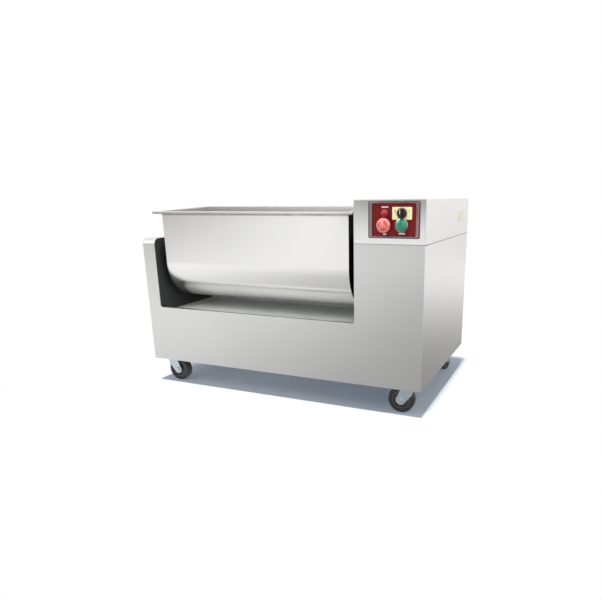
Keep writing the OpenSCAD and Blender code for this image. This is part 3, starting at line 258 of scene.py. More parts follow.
def set_world():
    """An even studio: the backdrop is white where it is seen, softer as light."""
    world = bpy.data.worlds.new("studio_world")
    bpy.context.scene.world = world
    world.use_nodes = True
    nodes, links = world.node_tree.nodes, world.node_tree.links
    nodes.clear()
    out = nodes.new("ShaderNodeOutputWorld")
    mix = nodes.new("ShaderNodeMixShader")
    links.new(backdrop_rays(nodes, links), mix.inputs["Fac"])
    links.new(background(nodes, SKY_TONE, SKY_LIGHT).outputs[0], mix.inputs[1])
    links.new(background(nodes, WHITE, 1.0).outputs[0], mix.inputs[2])
    links.new(mix.outputs[0], out.inputs["Surface"])


FLOOR_REACH = 12.0
FLOOR_EDGE = (0.80, 1.30)
FLOOR_TONE = (0.44, 0.455, 0.48)
SHADOW_TONE = (0.092, 0.114, 0.148)


def floor_material():
    """Grey paint, white under the far lamp, so that it takes the shadow. Further out it goes
    over to the white of the backdrop."""
    mat, nodes, links, surface = bare_material("studio_floor")
    paint = nodes.new("ShaderNodeBsdfDiffuse")
    paint.inputs["Color"].default_value = (*FLOOR_TONE, 1)
    lifted = nodes.new("ShaderNodeAddShader")
    length = vector_node(nodes, links, "LENGTH", object_place(nodes))
    mix = nodes.new("ShaderNodeMixShader")
    links.new(map_range(nodes, links, length.outputs["Value"], *FLOOR_EDGE), mix.inputs["Fac"])
    links.new(paint.outputs[0], lifted.inputs[0])
    links.new(emission(nodes, links, (*SHADOW_TONE, 1)), lifted.inputs[1])
    links.new(lifted.outputs[0], mix.inputs[1])
    links.new(emission(nodes, links, (*WHITE, 1)), mix.inputs[2])
    links.new(mix.outputs[0], surface)
    return mat


def flat_corners(x0, x1, y0, y1, z):
    return [(x0, y0, z), (x1, y0, z), (x1, y1, z), (x0, y1, z)]


def upright_corners(x0, y0, x1, y1, z0, z1):
    return [(x0, y0, z0), (x1, y1, z0), (x1, y1, z1), (x0, y0, z1)]


def stage_sheet(name, corners, material):
    mesh = bpy.data.meshes.new(name)
    mesh.from_pydata(corners, [], [(0, 1, 2, 3)])
    mesh.materials.append(material)
    obj = add_object(name, mesh)
    return obj


def lay_floor():
    r = FLOOR_REACH
    stage_sheet("studio_floor", flat_corners(-r, r, -r, r, 0), floor_material())


CARD_Z, CARD_LEFT, CARD_FAR, CARD_SPLIT = 0.012, -3.2, 5.5, -0.35
# Each card: corners, tone in its middle, that middle, and its reach along x, y and z.
CARDS = {
    "front_floor_card": (flat_corners(CARD_LEFT, CARD_FAR, -CARD_FAR, CARD_SPLIT, CARD_Z),
                         (0.34, 0.34, 0.34), (0.9, -2.5, CARD_Z), (2.4, 12.0, 1)),
    "rear_floor_card": (flat_corners(CARD_LEFT, CARD_FAR, CARD_SPLIT, 3.4, CARD_Z),
                        (0.27, 0.27, 0.27), (0.9, CARD_SPLIT, CARD_Z), (2.4, 3.7, 1)),
    "left_card": (upright_corners(-4.6, -2.4, -0.8, -5.4, 0.02, 3.0),
                  (0.28, 0.275, 0.27), (-3.6, -3.2, 0.95), (2.4, 2.4, 1.25)),
    "right_card": (upright_corners(-1.3, -5.3, 4.0, -5.3, 0.02, 3.2),
                   (0.30, 0.30, 0.30), (-0.6, -5.3, 1.2), (2.0, 1, 1.0)),
    "box_card": (upright_corners(0.07, -0.95, 0.75, -0.95, 0.54, 1.12),
                 (0.15, 0.15, 0.147), (0.3, -0.95, 0.865), (8, 1, 0.32)),
    "rear_card": (upright_corners(0.4, 4.85, 2.6, 4.85, CARD_Z, 2.0),
                  (0.60, 0.60, 0.60), (1.2, 4.85, CARD_Z), (0.72, 1, 1.0)),
}


def shade_card(name, corners, tone, middle, reach):
    """A card that only reflections see, as a photographer shades polished steel: grey in the
    middle, white from its reach on."""
    mat, nodes, links, surface = bare_material(name)
    apart = vector_node(nodes, links, "SUBTRACT", object_place(nodes), middle)
    share = vector_node(nodes, links, "DIVIDE", apart.outputs[0], reach)
    length = vector_node(nodes, links, "LENGTH", share.outputs[0])
    outward = map_range(nodes, links, length.outputs["Value"], 0.0, 1.0)
    shade = mix_colour(nodes, links, outward, (*tone, 1), (*WHITE, 1))
    links.new(emission(nodes, links, shade), surface)
    card = stage_sheet(name, corners, mat)
    card.visible_camera = card.visible_diffuse = False
    card.visible_shadow = card.visible_transmission = False


def set_cards():
    for name, (corners, tone, middle, reach) in CARDS.items():
        shade_card(name, corners, tone, middle, reach)


# ---------------------------------------------------------------- shared shader groups
ROLL_CONTRAST = 0.10


def brushed_sheet_group():
    """Long fine polishing lines, a slow change of tone from the rolls, and hand smudges."""
    group, gin, gout = new_tree("brushed_sheet", "ShaderNodeTree", [
        ("Stretch", VECTOR, (6, 400, 400)), ("Tone", COLOUR, (0.7, 0.7, 0.7, 1)),
        ("Line Contrast", NUMBER, 0.1), ("Smudge", NUMBER, 0.08),
        ("Rough", NUMBER, 0.3), ("Rough Spread", NUMBER, 0.12),
    ], SKIN)
    nodes, links = group.nodes, group.links
    place = object_place(nodes)
    stretched = vector_node(nodes, links, "MULTIPLY", place, gin.outputs["Stretch"])
    lines = noise_node(nodes, links, stretched.outputs[0], scale=1.0, detail=4.0, rough=0.7)
    rolls = noise_node(nodes, links, place, scale=2.3, detail=2.0)
    smudges = noise_node(nodes, links, place, scale=11.0, detail=5.0, rough=0.65)
    streaks = from_middle(nodes, links, lines)
    line_part = math_node(nodes, links, "MULTIPLY", streaks, gin.outputs["Line Contrast"])
    roll_part = math_node(nodes, links, "MULTIPLY", from_middle(nodes, links, rolls), ROLL_CONTRAST)
    both = math_node(nodes, links, "ADD", line_part, roll_part)
    tint = nodes.new("ShaderNodeVectorMath")
    tint.operation = "SCALE"
    links.new(gin.outputs["Tone"], tint.inputs[0])
    links.new(math_node(nodes, links, "ADD", both, 1.0), tint.inputs["Scale"])
    links.new(tint.outputs[0], gout.inputs["Color"])
    spread = math_node(nodes, links, "MULTIPLY", streaks, gin.outputs["Rough Spread"])
    hands = math_node(nodes, links, "MULTIPLY",
                      from_middle(nodes, links, smudges), gin.outputs["Smudge"])
    rough = math_node(nodes, links, "ADD", gin.outputs["Rough"], spread)
    links.new(math_node(nodes, links, "ADD", rough, hands), gout.inputs["Roughness"])
    links.new(lines, gout.inputs["Height"])
    return group


def moulded_skin_group():
    """Fine spark-eroded grain of moulded plastic and rubber, with dust in patches."""
    group, gin, gout = new_tree("moulded_skin", "ShaderNodeTree", [
        ("Tone", COLOUR, (0.1, 0.1, 0.1, 1)), ("Dust", COLOUR, (0.3, 0.3, 0.28, 1)),
        ("Dust Amount", NUMBER, 0.15), ("Grain Scale", NUMBER, 900.0),
        ("Rough", NUMBER, 0.45), ("Rough Spread", NUMBER, 0.15),
    ], SKIN)
    nodes, links = group.nodes, group.links
    place = object_place(nodes)
    grain = noise_node(nodes, links, place, gin.outputs["Grain Scale"], detail=3.0)
    patches = noise_node(nodes, links, place, scale=26.0, detail=4.0)
    dusty = math_node(nodes, links, "MULTIPLY", patches, gin.outputs["Dust Amount"])
    colour = mix_colour(nodes, links, dusty, gin.outputs["Tone"], gin.outputs["Dust"])
    spread = math_node(nodes, links, "MULTIPLY",
                       from_middle(nodes, links, patches), gin.outputs["Rough Spread"])
    rough = math_node(nodes, links, "ADD", gin.outputs["Rough"], spread)
    links.new(colour, gout.inputs["Color"])
    links.new(rough, gout.inputs["Roughness"])
    links.new(grain, gout.inputs["Height"])
    return group


CHIP_EDGE, CHIP_GAIN = (0.68, 0.72), 12.0
SOOT, SOOT_SHARE, SOOT_ROUGH = (0.02, 0.02, 0.02, 1), 0.25, 0.15
# Eases the edges of the painted shade line under the rim.
SHADE_LINE_EDGE = (0.0, 0.45)


def cast_paint_group():
    """Orange peel of paint over a sand-cast skin, with chipped spots showing bare metal."""
    group, gin, gout = new_tree("cast_paint", "ShaderNodeTree", [
        ("Tone", COLOUR, (0.1, 0.2, 0.3, 1)), ("Bare", COLOUR, (0.3, 0.3, 0.3, 1)),
        ("Chips", NUMBER, 0.04), ("Skin Scale", NUMBER, 220.0), ("Rough", NUMBER, 0.35),
    ], SKIN)
    nodes, links = group.nodes, group.links
    place = object_place(nodes)
    skin = noise_node(nodes, links, place, gin.outputs["Skin Scale"], detail=4.0)
    spots = noise_node(nodes, links, place, scale=60.0, detail=6.0, rough=0.7)
    slow = noise_node(nodes, links, place, scale=9.0, detail=3.0)
    worn = map_range(nodes, links, spots, *CHIP_EDGE)
    amount = math_node(nodes, links, "MULTIPLY", gin.outputs["Chips"], CHIP_GAIN)
    chips = math_node(nodes, links, "MULTIPLY", worn, amount)
    sooty = math_node(nodes, links, "MULTIPLY", slow, SOOT_SHARE)
    toned = mix_colour(nodes, links, sooty, gin.outputs["Tone"], SOOT)
    dull = math_node(nodes, links, "MULTIPLY", slow, SOOT_ROUGH)
    rough = math_node(nodes, links, "ADD", gin.outputs["Rough"], dull)
    links.new(mix_colour(nodes, links, chips, toned, gin.outputs["Bare"]), gout.inputs["Color"])
    links.new(rough, gout.inputs["Roughness"])
    links.new(skin, gout.inputs["Height"])
    return group


def rim_shade_line_group():
    """A painted shade line, dark and slightly brown, at one height of a sheet: the shade under the
    rim's lip.
    """
    group, gin, gout = new_tree("rim_shade_line", "ShaderNodeTree", [
        ("Tone", COLOUR, (0.8, 0.8, 0.8, 1)), ("Tint", COLOUR, (0.2, 0.17, 0.14, 1)),
        ("Height", NUMBER, 0.714), ("Width", NUMBER, 0.005), ("Strength", NUMBER, 0.7),
    ], [("Color", COLOUR)])
    nodes, links = group.nodes, group.links
    place = object_place(nodes)
    parts = nodes.new("ShaderNodeSeparateXYZ")
    links.new(place, parts.inputs[0])
    uneven = noise_node(nodes, links, place, scale=30.0, detail=2.0)
    offset = math_node(nodes, links, "SUBTRACT", parts.outputs["Z"], gin.outputs["Height"])
    away = math_node(nodes, links, "ABSOLUTE", offset)
    outward = math_node(nodes, links, "DIVIDE", away, gin.outputs["Width"])
    inside = math_node(nodes, links, "SUBTRACT", 1.0, outward)
    soft = map_range(nodes, links, inside, *SHADE_LINE_EDGE)
    patchy = math_node(nodes, links, "ADD", uneven, 0.5)
    share = math_node(nodes, links, "MULTIPLY", patchy, gin.outputs["Strength"])
    mask = math_node(nodes, links, "MULTIPLY", soft, share)
    shaded = mix_colour(nodes, links, mask, gin.outputs["Tone"], gin.outputs["Tint"])
    links.new(shaded, gout.inputs["Color"])
    return group


GROUPS = {
    "brushed": brushed_sheet_group(), "moulded": moulded_skin_group(),
    "cast": cast_paint_group(), "tint": rim_shade_line_group(),
}


# ---------------------------------------------------------------- finishes
# The crevice tone is the near black of the painted shade in narrow gaps.
CREVICE_REACH, CREVICE_SHADE_TONE, CREVICE_EDGE = 80 * MM, (0.05, 0.05, 0.05, 1), (0.15, 0.5)
CREVICE_SAMPLES, EASE_SAMPLES = 6, 4
BUMP_STRENGTH, LINE_DEPTH = 0.6, 0.03 * MM


def shade_crevices(nodes, links, colour, between):
    """Painted shade in narrow gaps: an occlusion mask darkens the colour there to near black. A
    span of x that stays free of it, such as from end to end of the trough, may be given as between."""
    open_part = nodes.new("ShaderNodeAmbientOcclusion")
    open_part.samples = CREVICE_SAMPLES
    open_part.inputs["Distance"].default_value = CREVICE_REACH
    unshaded = map_range(nodes, links, open_part.outputs["AO"], *CREVICE_EDGE)
    if between:
        parts = nodes.new("ShaderNodeSeparateXYZ")
        links.new(object_place(nodes), parts.inputs[0])
        offset = math_node(nodes, links, "SUBTRACT", parts.outputs["X"], sum(between) / 2)
        away = math_node(nodes, links, "ABSOLUTE", offset)
        inward = math_node(nodes, links, "SUBTRACT", (between[1] - between[0]) / 2, away)
        within = map_range(nodes, links, inward, 0.0, SHEET)
        unshaded = math_node(nodes, links, "MAXIMUM", unshaded, within)
    return mix_colour(nodes, links, unshaded, CREVICE_SHADE_TONE, colour)


def group_node(nodes, kind, settings):
    node = nodes.new("ShaderNodeGroup")
    node.node_tree = GROUPS[kind]
    for title, value in settings.items():
        node.inputs[title].default_value = value
    return node


def finish_material(name, kind, settings, bump, edge, metallic=0.0, tint=None, crevices=None,
                    **sockets):
    """A material from one shared group; bump is its depth and edge the radius that its corners
    are eased to. tint has the settings of a painted shade line at one height, and the crevice
    argument gives the span of x that keeps no painted shade in gaps."""
    mat = bpy.data.materials.new(name)
    mat.use_nodes = True
    nodes, links = mat.node_tree.nodes, mat.node_tree.links
    shader = nodes["Principled BSDF"]
    shader.inputs["Metallic"].default_value = metallic
    for title, value in sockets.items():
        shader.inputs[title.replace("_", " ")].default_value = value
    group = group_node(nodes, kind, settings)
    colour = group.outputs["Color"]
    # tint paints a line of shade at one height, under the rim's lip.
    if tint:
        line = group_node(nodes, "tint", tint)
        links.new(colour, line.inputs["Tone"])
        colour = line.outputs["Color"]
    # Painted shade: an occlusion mask darkens the colour in narrow gaps.
    if crevices is not None:
        colour = shade_crevices(nodes, links, colour, crevices)
    links.new(colour, shader.inputs["Base Color"])
    links.new(group.outputs["Roughness"], shader.inputs["Roughness"])
    dent = nodes.new("ShaderNodeBump")
    dent.inputs["Distance"].default_value = bump
    dent.inputs["Strength"].default_value = BUMP_STRENGTH
    ease = nodes.new("ShaderNodeBevel")
    ease.samples = EASE_SAMPLES
    ease.inputs["Radius"].default_value = edge
    links.new(group.outputs["Height"], dent.inputs["Height"])
    links.new(ease.outputs["Normal"], dent.inputs["Normal"])
    links.new(dent.outputs["Normal"], shader.inputs["Normal"])
    return mat


def steel(name, tone, stretch, rough, lines=0.1, spread=0.12, edge=1.2 * MM, **more):
    settings = {"Stretch": stretch, "Tone": (*tone, 1), "Line Contrast": lines,
                "Rough": rough, "Rough Spread": spread}
    return finish_material(name, "brushed", settings, LINE_DEPTH, edge, metallic=1.0, **more)


def plastic(name, tone, rough, grain=900.0, dust=0.1, bump=0.04 * MM, edge=0.8 * MM, **more):
    settings = {"Tone": (*tone, 1), "Dust Amount": dust, "Grain Scale": grain, "Rough": rough}
    return finish_material(name, "moulded", settings, bump, edge, **more)


def casting(name, tone, rough, chips=0.04, scale=220.0, bump=0.25 * MM, edge=2 * MM, **more):
    settings = {"Tone": (*tone, 1), "Chips": chips, "Skin Scale": scale, "Rough": rough}
    return finish_material(name, "cast", settings, bump, edge, **more)


ALONG_X, ALONG_Y, ALONG_Z = (5, 420, 420), (420, 5, 420), (420, 420, 5)

MATERIALS = {
    "brushed_stainless": steel("brushed_stainless", (0.72, 0.72, 0.715), ALONG_X, 0.30),
    "box_stainless": steel("box_stainless", (0.86, 0.86, 0.852), ALONG_X, 0.19),
    # Side sheets are brushed along y; their brighter, warmer tone than the front is painted light
    # on those sheets, and the crevice setting paints shade in narrow gaps.
    "side_stainless": steel("side_stainless", (0.80, 0.78, 0.755), ALONG_Y, 0.30, crevices=()),
    "satin_stainless": steel("satin_stainless", (0.62, 0.62, 0.61), ALONG_Y, 0.30),
    # The inner walls' near-black finish is painted shade: it stands for the shade in the narrow
    # gaps beside the trough.
    "painted_shade_wall": plastic("painted_shade_wall", (0.034, 0.037, 0.035), 0.5, grain=300, dust=0.03,
                         bump=0.1 * MM),
    # The liner's near-white tone is painted light: it lightens the steel in the shaded well under
    # the trough.
    "liner_stainless": steel("liner_stainless", (0.96, 0.97, 0.96), ALONG_X, 0.82),
    # Painted shade on the trough: darkened gaps beyond its end walls, and a shade line under the
    # rim's lip.
    "trough_stainless": steel("trough_stainless", (0.88, 0.875, 0.86), ALONG_X, 0.23,
                              crevices=(TROUGH_X0 + SHEET + SHIFT_X, TROUGH_X1 - SHEET + SHIFT_X),
                              tint={"Height": RIM_Z - 12 * MM, "Width": 4 * MM, "Strength": 0.45}),
    # The rim's tint paints shade along the lower edge of its lip.
    "rim_stainless": steel("rim_stainless", (0.73, 0.725, 0.71), ALONG_X, 0.26,
                           tint={"Height": RIM_Z - 9 * MM, "Width": 3.5 * MM, "Strength": 0.7}),
    "polished_stainless": steel("polished_stainless", (0.74, 0.74, 0.73), ALONG_Z, 0.16,
                                lines=0.05),
    "frame_steel": steel("frame_steel", (0.45, 0.45, 0.44), ALONG_X, 0.45, lines=0.2),
    "zinc": steel("zinc", (0.62, 0.70, 0.74), (60, 60, 60), 0.30, lines=0.25, spread=0.25),
    "turned_steel": steel("turned_steel", (0.60, 0.60, 0.59), ALONG_X, 0.22),
    "bearing_iron": casting("bearing_iron", (0.06, 0.17, 0.14), 0.4),
    "pulley_iron": casting("pulley_iron", (0.22, 0.22, 0.23), 0.5, metallic=0.7),
    "drive_paint": casting("drive_paint", (0.05, 0.14, 0.27), 0.35),
    "fan_cover_paint": casting("fan_cover_paint", (0.04, 0.10, 0.19), 0.35, bump=0.1 * MM),
    "belt_rubber": plastic("belt_rubber", (0.025, 0.025, 0.025), 0.7, grain=1400, dust=0.3),
    "bezel_metal": steel("bezel_metal", (0.42, 0.26, 0.27), ALONG_X, 0.2, edge=0.8 * MM),
    "panel_red": casting("panel_red", (0.19, 0.005, 0.006), 0.3, chips=0.0, scale=500,
                         bump=0.03 * MM, edge=0.4 * MM, Specular_IOR_Level=0.2),
    "legend_yellow": plastic("legend_yellow", (0.98, 0.85, 0.48), 0.4, dust=0.03,
                             edge=0.4 * MM),
    "collar_metal": plastic("collar_metal", (0.05, 0.045, 0.045), 0.3, edge=0.6 * MM),
    "lamp_red": plastic("lamp_red", (0.62, 0.012, 0.04), 0.12, dust=0.02,
                        Transmission_Weight=0.3),
    "switch_plastic": plastic("switch_plastic", (0.07, 0.07, 0.075), 0.5),
    "plate_aluminium": steel("plate_aluminium", (0.75, 0.725, 0.61), ALONG_Y, 0.32,
                             edge=0.4 * MM),
    "black_plastic": plastic("black_plastic", (0.012, 0.012, 0.012), 0.3, dust=0.06),
    "seal_plastic": plastic("seal_plastic", (0.78, 0.78, 0.74), 0.45),
    "stop_red": plastic("stop_red", (0.80, 0.19, 0.17), 0.22, dust=0.03, Coat_Weight=0.3),
    "start_green": plastic("start_green", (0.02, 0.24, 0.13), 0.22, dust=0.03,
                           Coat_Weight=0.3),
    "wheel_plastic": plastic("wheel_plastic", (0.06, 0.065, 0.075), 0.5, dust=0.2),
    "tyre_rubber": plastic("tyre_rubber", (0.012, 0.012, 0.014), 0.5, grain=500, dust=0.1),
    "mark_white": plastic("mark_white", (0.78, 0.62, 0.58), 0.5, dust=0.04, edge=0.2 * MM),
    "mark_red": plastic("mark_red", (0.30, 0.02, 0.025), 0.5, dust=0.04, edge=0.2 * MM),
    "mark_black": plastic("mark_black", (0.02, 0.015, 0.012), 0.5, dust=0.04, edge=0.2 * MM),
    # A sealant grey that also paints the shade line of the side seam.
    "sealant_and_shade_grey": plastic("sealant_and_shade_grey", (0.05, 0.05, 0.052), 0.45, dust=0.15),
    "weld_steel": steel("weld_steel", (0.62, 0.60, 0.57), (160, 160, 160), 0.32, lines=0.3,
                        spread=0.3),
}
# CAD nodes with a finish other than their slot's, as the photograph shows them.
OWN_FINISH = {
    "right_side_panel": "side_stainless", "left_side_panel": "side_stainless",
    "control_box_cover": "side_stainless", "left_top_cap": "side_stainless",
    # The inner walls take painted shade in place of their steel.
    "left_inner_wall": "painted_shade_wall", "right_inner_wall": "painted_shade_wall",
    # The well liner takes a lighter copy of the steel, painted light.
    "well_liner": "liner_stainless", "tank_rim": "rim_stainless",
    "control_box_front": "box_stainless",
}


def dress_cad_nodes():
    """Puts the studio finishes on the CAD pieces by the record's slots."""
    for entry in frame["record"]["subparts"]:
        name = entry["node"]
        finish = MATERIALS[OWN_FINISH.get(name, entry["material_slot"])]
        mesh = frame["nodes"][name].data
        for i in range(len(mesh.materials)):
            mesh.materials[i] = finish
        if not mesh.materials:
            mesh.materials.append(finish)


# ---------------------------------------------------------------- making pieces
CREASE = math.radians(40)
WELD_REACH = 0.005 * MM


def piece(name, mesh, material, body):
    """Links a finished mesh with its finish and lets it ride on a body."""
    mesh.materials.clear()
    mesh.materials.append(MATERIALS[material])
    obj = add_object(name, mesh)
    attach(obj, body)
    return obj


def close_mesh(name, bm):
    """Welds doubled points, turns the faces outward and marks the sharp edges."""
    bmesh.ops.remove_doubles(bm, verts=bm.verts, dist=WELD_REACH)
    bmesh.ops.recalc_face_normals(bm, faces=bm.faces)
    mesh = bpy.data.meshes.new(name)
    bm.to_mesh(mesh)
    bm.free()
    mesh.shade_smooth()
    mesh.set_sharp_from_angle(angle=CREASE)
    return mesh


def evaluated_mesh(obj):
    """The mesh that an object makes; the object itself is taken away."""
    graph = bpy.context.evaluated_depsgraph_get()
    mesh = bpy.data.meshes.new_from_object(obj.evaluated_get(graph), depsgraph=graph)
    bpy.data.objects.remove(obj)
    return mesh


def sweep(bm, sections, closed=True):
    """Joins equal sections into a skin: a loop when closed, else with a lid at each end."""
    rings = [[bm.verts.new(p) for p in section] for section in sections]
    count = len(rings[0])
    pairs = list(zip(rings, rings[1:]))
    if closed:
        pairs.append((rings[-1], rings[0]))
    for here, ahead in pairs:
        for j in range(count):
            k = (j + 1) % count
            bm.faces.new((here[j], here[k], ahead[k], ahead[j]))
    if not closed:
        bm.faces.new(rings[0])
        bm.faces.new(rings[-1])


def turned(bm, profile, origin, toward, steps):
    """Turns a profile of radius and height round a direction; it starts and ends on the axis."""
    axis = Vector(toward).normalized()
    side = axis.orthogonal().normalized()
    other = axis.cross(side)
    rings = []
    for radius, height in profile:
        base = Vector(origin) + axis * height
        angles = [math.tau * i / steps for i in range(steps if radius else 1)]
        spots = [base + (side * math.cos(a) + other * math.sin(a)) * radius for a in angles]
        rings.append([bm.verts.new(p) for p in spots])
    for low, high in zip(rings, rings[1:]):
        for i in range(steps):
            j = (i + 1) % steps
            corners = (low[i % len(low)], low[j % len(low)],
                       high[j % len(high)], high[i % len(high)])
            corners = list(dict.fromkeys(corners))
            if len(corners) > 2:
                bm.faces.new(corners)


# ---------------------------------------------------------------- the control panel
# Corners of a rectangle: at the right or not, at the top or not, and where its arc starts.
QUARTERS = ((1, 1, 0), (0, 1, 90), (0, 0, 180), (1, 0, 270))
FRAME_OUT_R, FRAME_IN_R, FRAME_STEPS = 5 * MM, 3 * MM, 6
OUTLINE_STEPS = 4
SUNK = 0.2 * MM


def quarter_arc(start, steps):
    """Cosine and sine along a quarter turn; start is in degrees."""
    for i in range(steps + 1):
        a = math.radians(start + 90 * i / steps)
        yield math.cos(a), math.sin(a)


def frame_places():
    """Outer and inner points round the panel frame, corner by corner."""
    out_r, in_r = FRAME_OUT_R, FRAME_IN_R
    for right, top, start in QUARTERS:
        outer = Vector((FRAME_W - out_r if right else out_r, FRAME_H - out_r if top else out_r))
        inner = Vector((FRAME_W - FRAME_SIDE - in_r if right else FRAME_SIDE + in_r,
                        FRAME_H - FRAME_BAR - in_r if top else FRAME_BAR + in_r))
        for way in quarter_arc(start, FRAME_STEPS):
            yield outer + Vector(way) * out_r, inner + Vector(way) * in_r


def frame_skin(name, profile):
    """A moulding round the red plate. The profile has the share of the way from the outer edge
    to the inner, and how proud it stands there."""
    sections = []
    for outer, inner in frame_places():
        spots = [(outer.lerp(inner, share), proud) for share, proud in profile]
        sections.append([cab(FRAME_X + p.x, -proud, FRAME_Z + p.y) for p, proud in spots])
    bm = bmesh.new()
    sweep(bm, sections)
    return close_mesh(name, bm)


def panel_frame():
    gasket = [(0.0, 0.0), (0.0, 2.6 * MM), (0.05, 3.4 * MM), (0.16, 3.4 * MM), (0.22, 2.2 * MM),
              (0.22, 0.0)]
    piece("frame_gasket", frame_skin("frame_gasket", gasket), "black_plastic", "cabinet")
    # A seal inside the frame whose black also paints the shade under the frame's inner edge.
    seal = [(0.88, PLATE_T - SUNK), (0.88, 3.1 * MM), (0.93, 3.4 * MM), (1.0, 3.1 * MM),
            (1.05, PLATE_T - SUNK)]
    piece("plate_seal_and_shade", frame_skin("plate_seal_and_shade", seal), "black_plastic", "cabinet")
    face = [(0.20, 0.0), (0.20, 3.6 * MM), (0.26, 4.7 * MM), (0.34, FRAME_T), (0.50, FRAME_T),
            (0.58, 4.5 * MM), (0.64, 3.5 * MM), (0.70, 3.9 * MM), (0.80, 3.9 * MM),
            (0.88, 3.2 * MM), (0.90, 0.0)]
    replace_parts(piece("panel_frame", frame_skin("panel_frame", face), "bezel_metal", "cabinet"),
                "panel_bezel")


def flat_block(bm, outline, y0, y1):
    """A thin block from an outline of x and z points in the cabinet's own coordinates."""
    sweep(bm, [[cab(x, y, z) for x, z in outline] for y in (y0, y1)], closed=False)


def soft_outline(x, z, w, h, r):
    """Points round a rectangle with eased corners, from its middle and its size."""
    points = []
    for right, top, start in QUARTERS:
        cx = x + (w / 2 - r) * (1 if right else -1)
        cz = z + (h / 2 - r) * (1 if top else -1)
        points += [(cx + r * cos, cz + r * sin) for cos, sin in quarter_arc(start, OUTLINE_STEPS)]
    return points


LABEL_H, LABEL_R, LABEL_T = 5 * MM, 1 * MM, 0.5 * MM
# Each label: the middle's x and z, and the width.
LABELS = (
    (COL_A, ROW_B + 20 * MM, 24 * MM),
    (COL_A, ROW_A - 29 * MM, 12 * MM),
    (COL_B, ROW_A - 27 * MM, 22 * MM),
)


def label_strips():
    """Blank label strips beside the controls, where such a panel has its words."""
    bm = bmesh.new()
    for x, z, w in LABELS:
        flat_block(bm, soft_outline(x, z, w, LABEL_H, LABEL_R), -PLATE_T - LABEL_T, -PLATE_T + SUNK)
    piece("label_strips", close_mesh("label_strips", bm), "mark_white", "cabinet")


TICK_ANGLES = (-45, 0, 45)
TICK_HALF, TICK_R0, TICK_R1 = 0.7 * MM, 17.8 * MM, 19.6 * MM
NUMBER_SIZE, NUMBER_OUT, NUMBER_UP = 12 * MM, 24 * MM, 3 * MM
PRINT_T, PRINT_SUNK = 0.12 * MM, 0.1 * MM


def raised_number(number, at):
    curve = bpy.data.curves.new("dial_number", "FONT")
    curve.body = number
    curve.size = NUMBER_SIZE
    curve.extrude = PRINT_T
    curve.align_x = "CENTER"
    shape = evaluated_mesh(add_object("dial_number", curve))
    shape.transform(Matrix.Translation(at) @ Matrix.Rotation(math.pi / 2, 4, "X"))
    return shape


def dial_marks():
    """Three position ticks and the numbers 0 and 1 printed round the selector."""
    bm = bmesh.new()
    face = -PLATE_T - LEGEND_T
    tick = ((-TICK_HALF, TICK_R0), (TICK_HALF, TICK_R0),
            (TICK_HALF, TICK_R1), (-TICK_HALF, TICK_R1))
    for angle in TICK_ANGLES:
        turn = Matrix.Rotation(math.radians(angle), 2)
        corners = [turn @ Vector(corner) for corner in tick]
        outline = [(COL_B + corner.x, ROW_B + corner.y) for corner in corners]
        flat_block(bm, outline, face - PRINT_T, face + PRINT_SUNK)
    for number, x in (("0", COL_B - NUMBER_OUT), ("1", COL_B + NUMBER_OUT)):
        bm.from_mesh(raised_number(number, cab(x, face, ROW_B + NUMBER_UP)))
    piece("dial_marks", close_mesh("dial_marks", bm), "mark_black", "cabinet")


def dome_height(radius, rise, rho):
    """Height of a dome of a given edge radius and rise, at a distance rho from its axis."""
    ball = (radius * radius + rise * rise) / (2 * rise)
    return math.sqrt(ball * ball - rho * rho) - (ball - rise)


HEAD_SEAT = 0.35
ARROW_COUNT, ARROW_R, ARROW_SUNK, ARROW_PROUD = 3, 13.5 * MM, 0.3 * MM, 0.35 * MM
# Along an arrow: degrees from its start, and half its width there.
ARROW = [(8 * i, 1.6 * MM) for i in range(8)] + [(56, 3.6 * MM), (66, 1.9 * MM), (76, 0.2 * MM)]


def stop_arrows():
    """Raised turn arrows on the mushroom head."""
    seat = PLATE_T + COLLAR_T + HEAD_GAP + HEAD_T * HEAD_SEAT
    rise = HEAD_T * (1 - HEAD_SEAT)

    def spot(rho, angle, lift):
        y = -(seat + dome_height(STOP_R, rise, rho) + lift)
        return cab(COL_A + rho * math.cos(angle), y, ROW_A + rho * math.sin(angle))

    bm = bmesh.new()
    for k in range(ARROW_COUNT):
        sections = []
        for degrees, half in ARROW:
            angle = math.tau * k / ARROW_COUNT + math.radians(degrees)
            low, high = ARROW_R - half, ARROW_R + half
            sections.append([spot(low, angle, -ARROW_SUNK), spot(high, angle, -ARROW_SUNK),
                             spot(high, angle, ARROW_PROUD), spot(low, angle, ARROW_PROUD)])
        sweep(bm, sections, closed=False)
    piece("stop_arrows", close_mesh("stop_arrows", bm), "mark_red", "stop")


BARREL_R, BARREL_DEEP = 8 * MM, 8 * MM
DOME_LIP, DOME_RISE, DOME_SHRINK, DOME_STEPS = 2 * MM, 5.8 * MM, 0.6 * MM, 40
RIBS, RIB_POINTS, RIB_WAVE, RIB_DROP = 5, 4, 0.22 * MM, 0.2 * MM


def lamp_dome():
    """Domed lens with the ribs that spread the light."""
    seat = PLATE_T + COLLAR_T
    profile = [(0, -BARREL_DEEP), (BARREL_R, -BARREL_DEEP), (BARREL_R, seat), (LENS_R, seat),
               (LENS_R, seat + DOME_LIP)]
    count = RIBS * RIB_POINTS
    for i in range(count + 1):
        rho = (LENS_R - DOME_SHRINK) * (1 - i / count)
        wave = RIB_WAVE * math.cos(math.tau * i / RIB_POINTS)
        height = seat + DOME_LIP + dome_height(LENS_R, DOME_RISE, rho) + wave - RIB_DROP
        profile.append((rho, height))
    bm = bmesh.new()
    turned(bm, profile, cab(COL_A, 0, ROW_B), (0, -1, 0), DOME_STEPS)
    lens = piece("lamp_dome", close_mesh("lamp_dome", bm), "lamp_red", "cabinet")
    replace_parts(lens, "lamp_lens")


RING_STEPS = 56
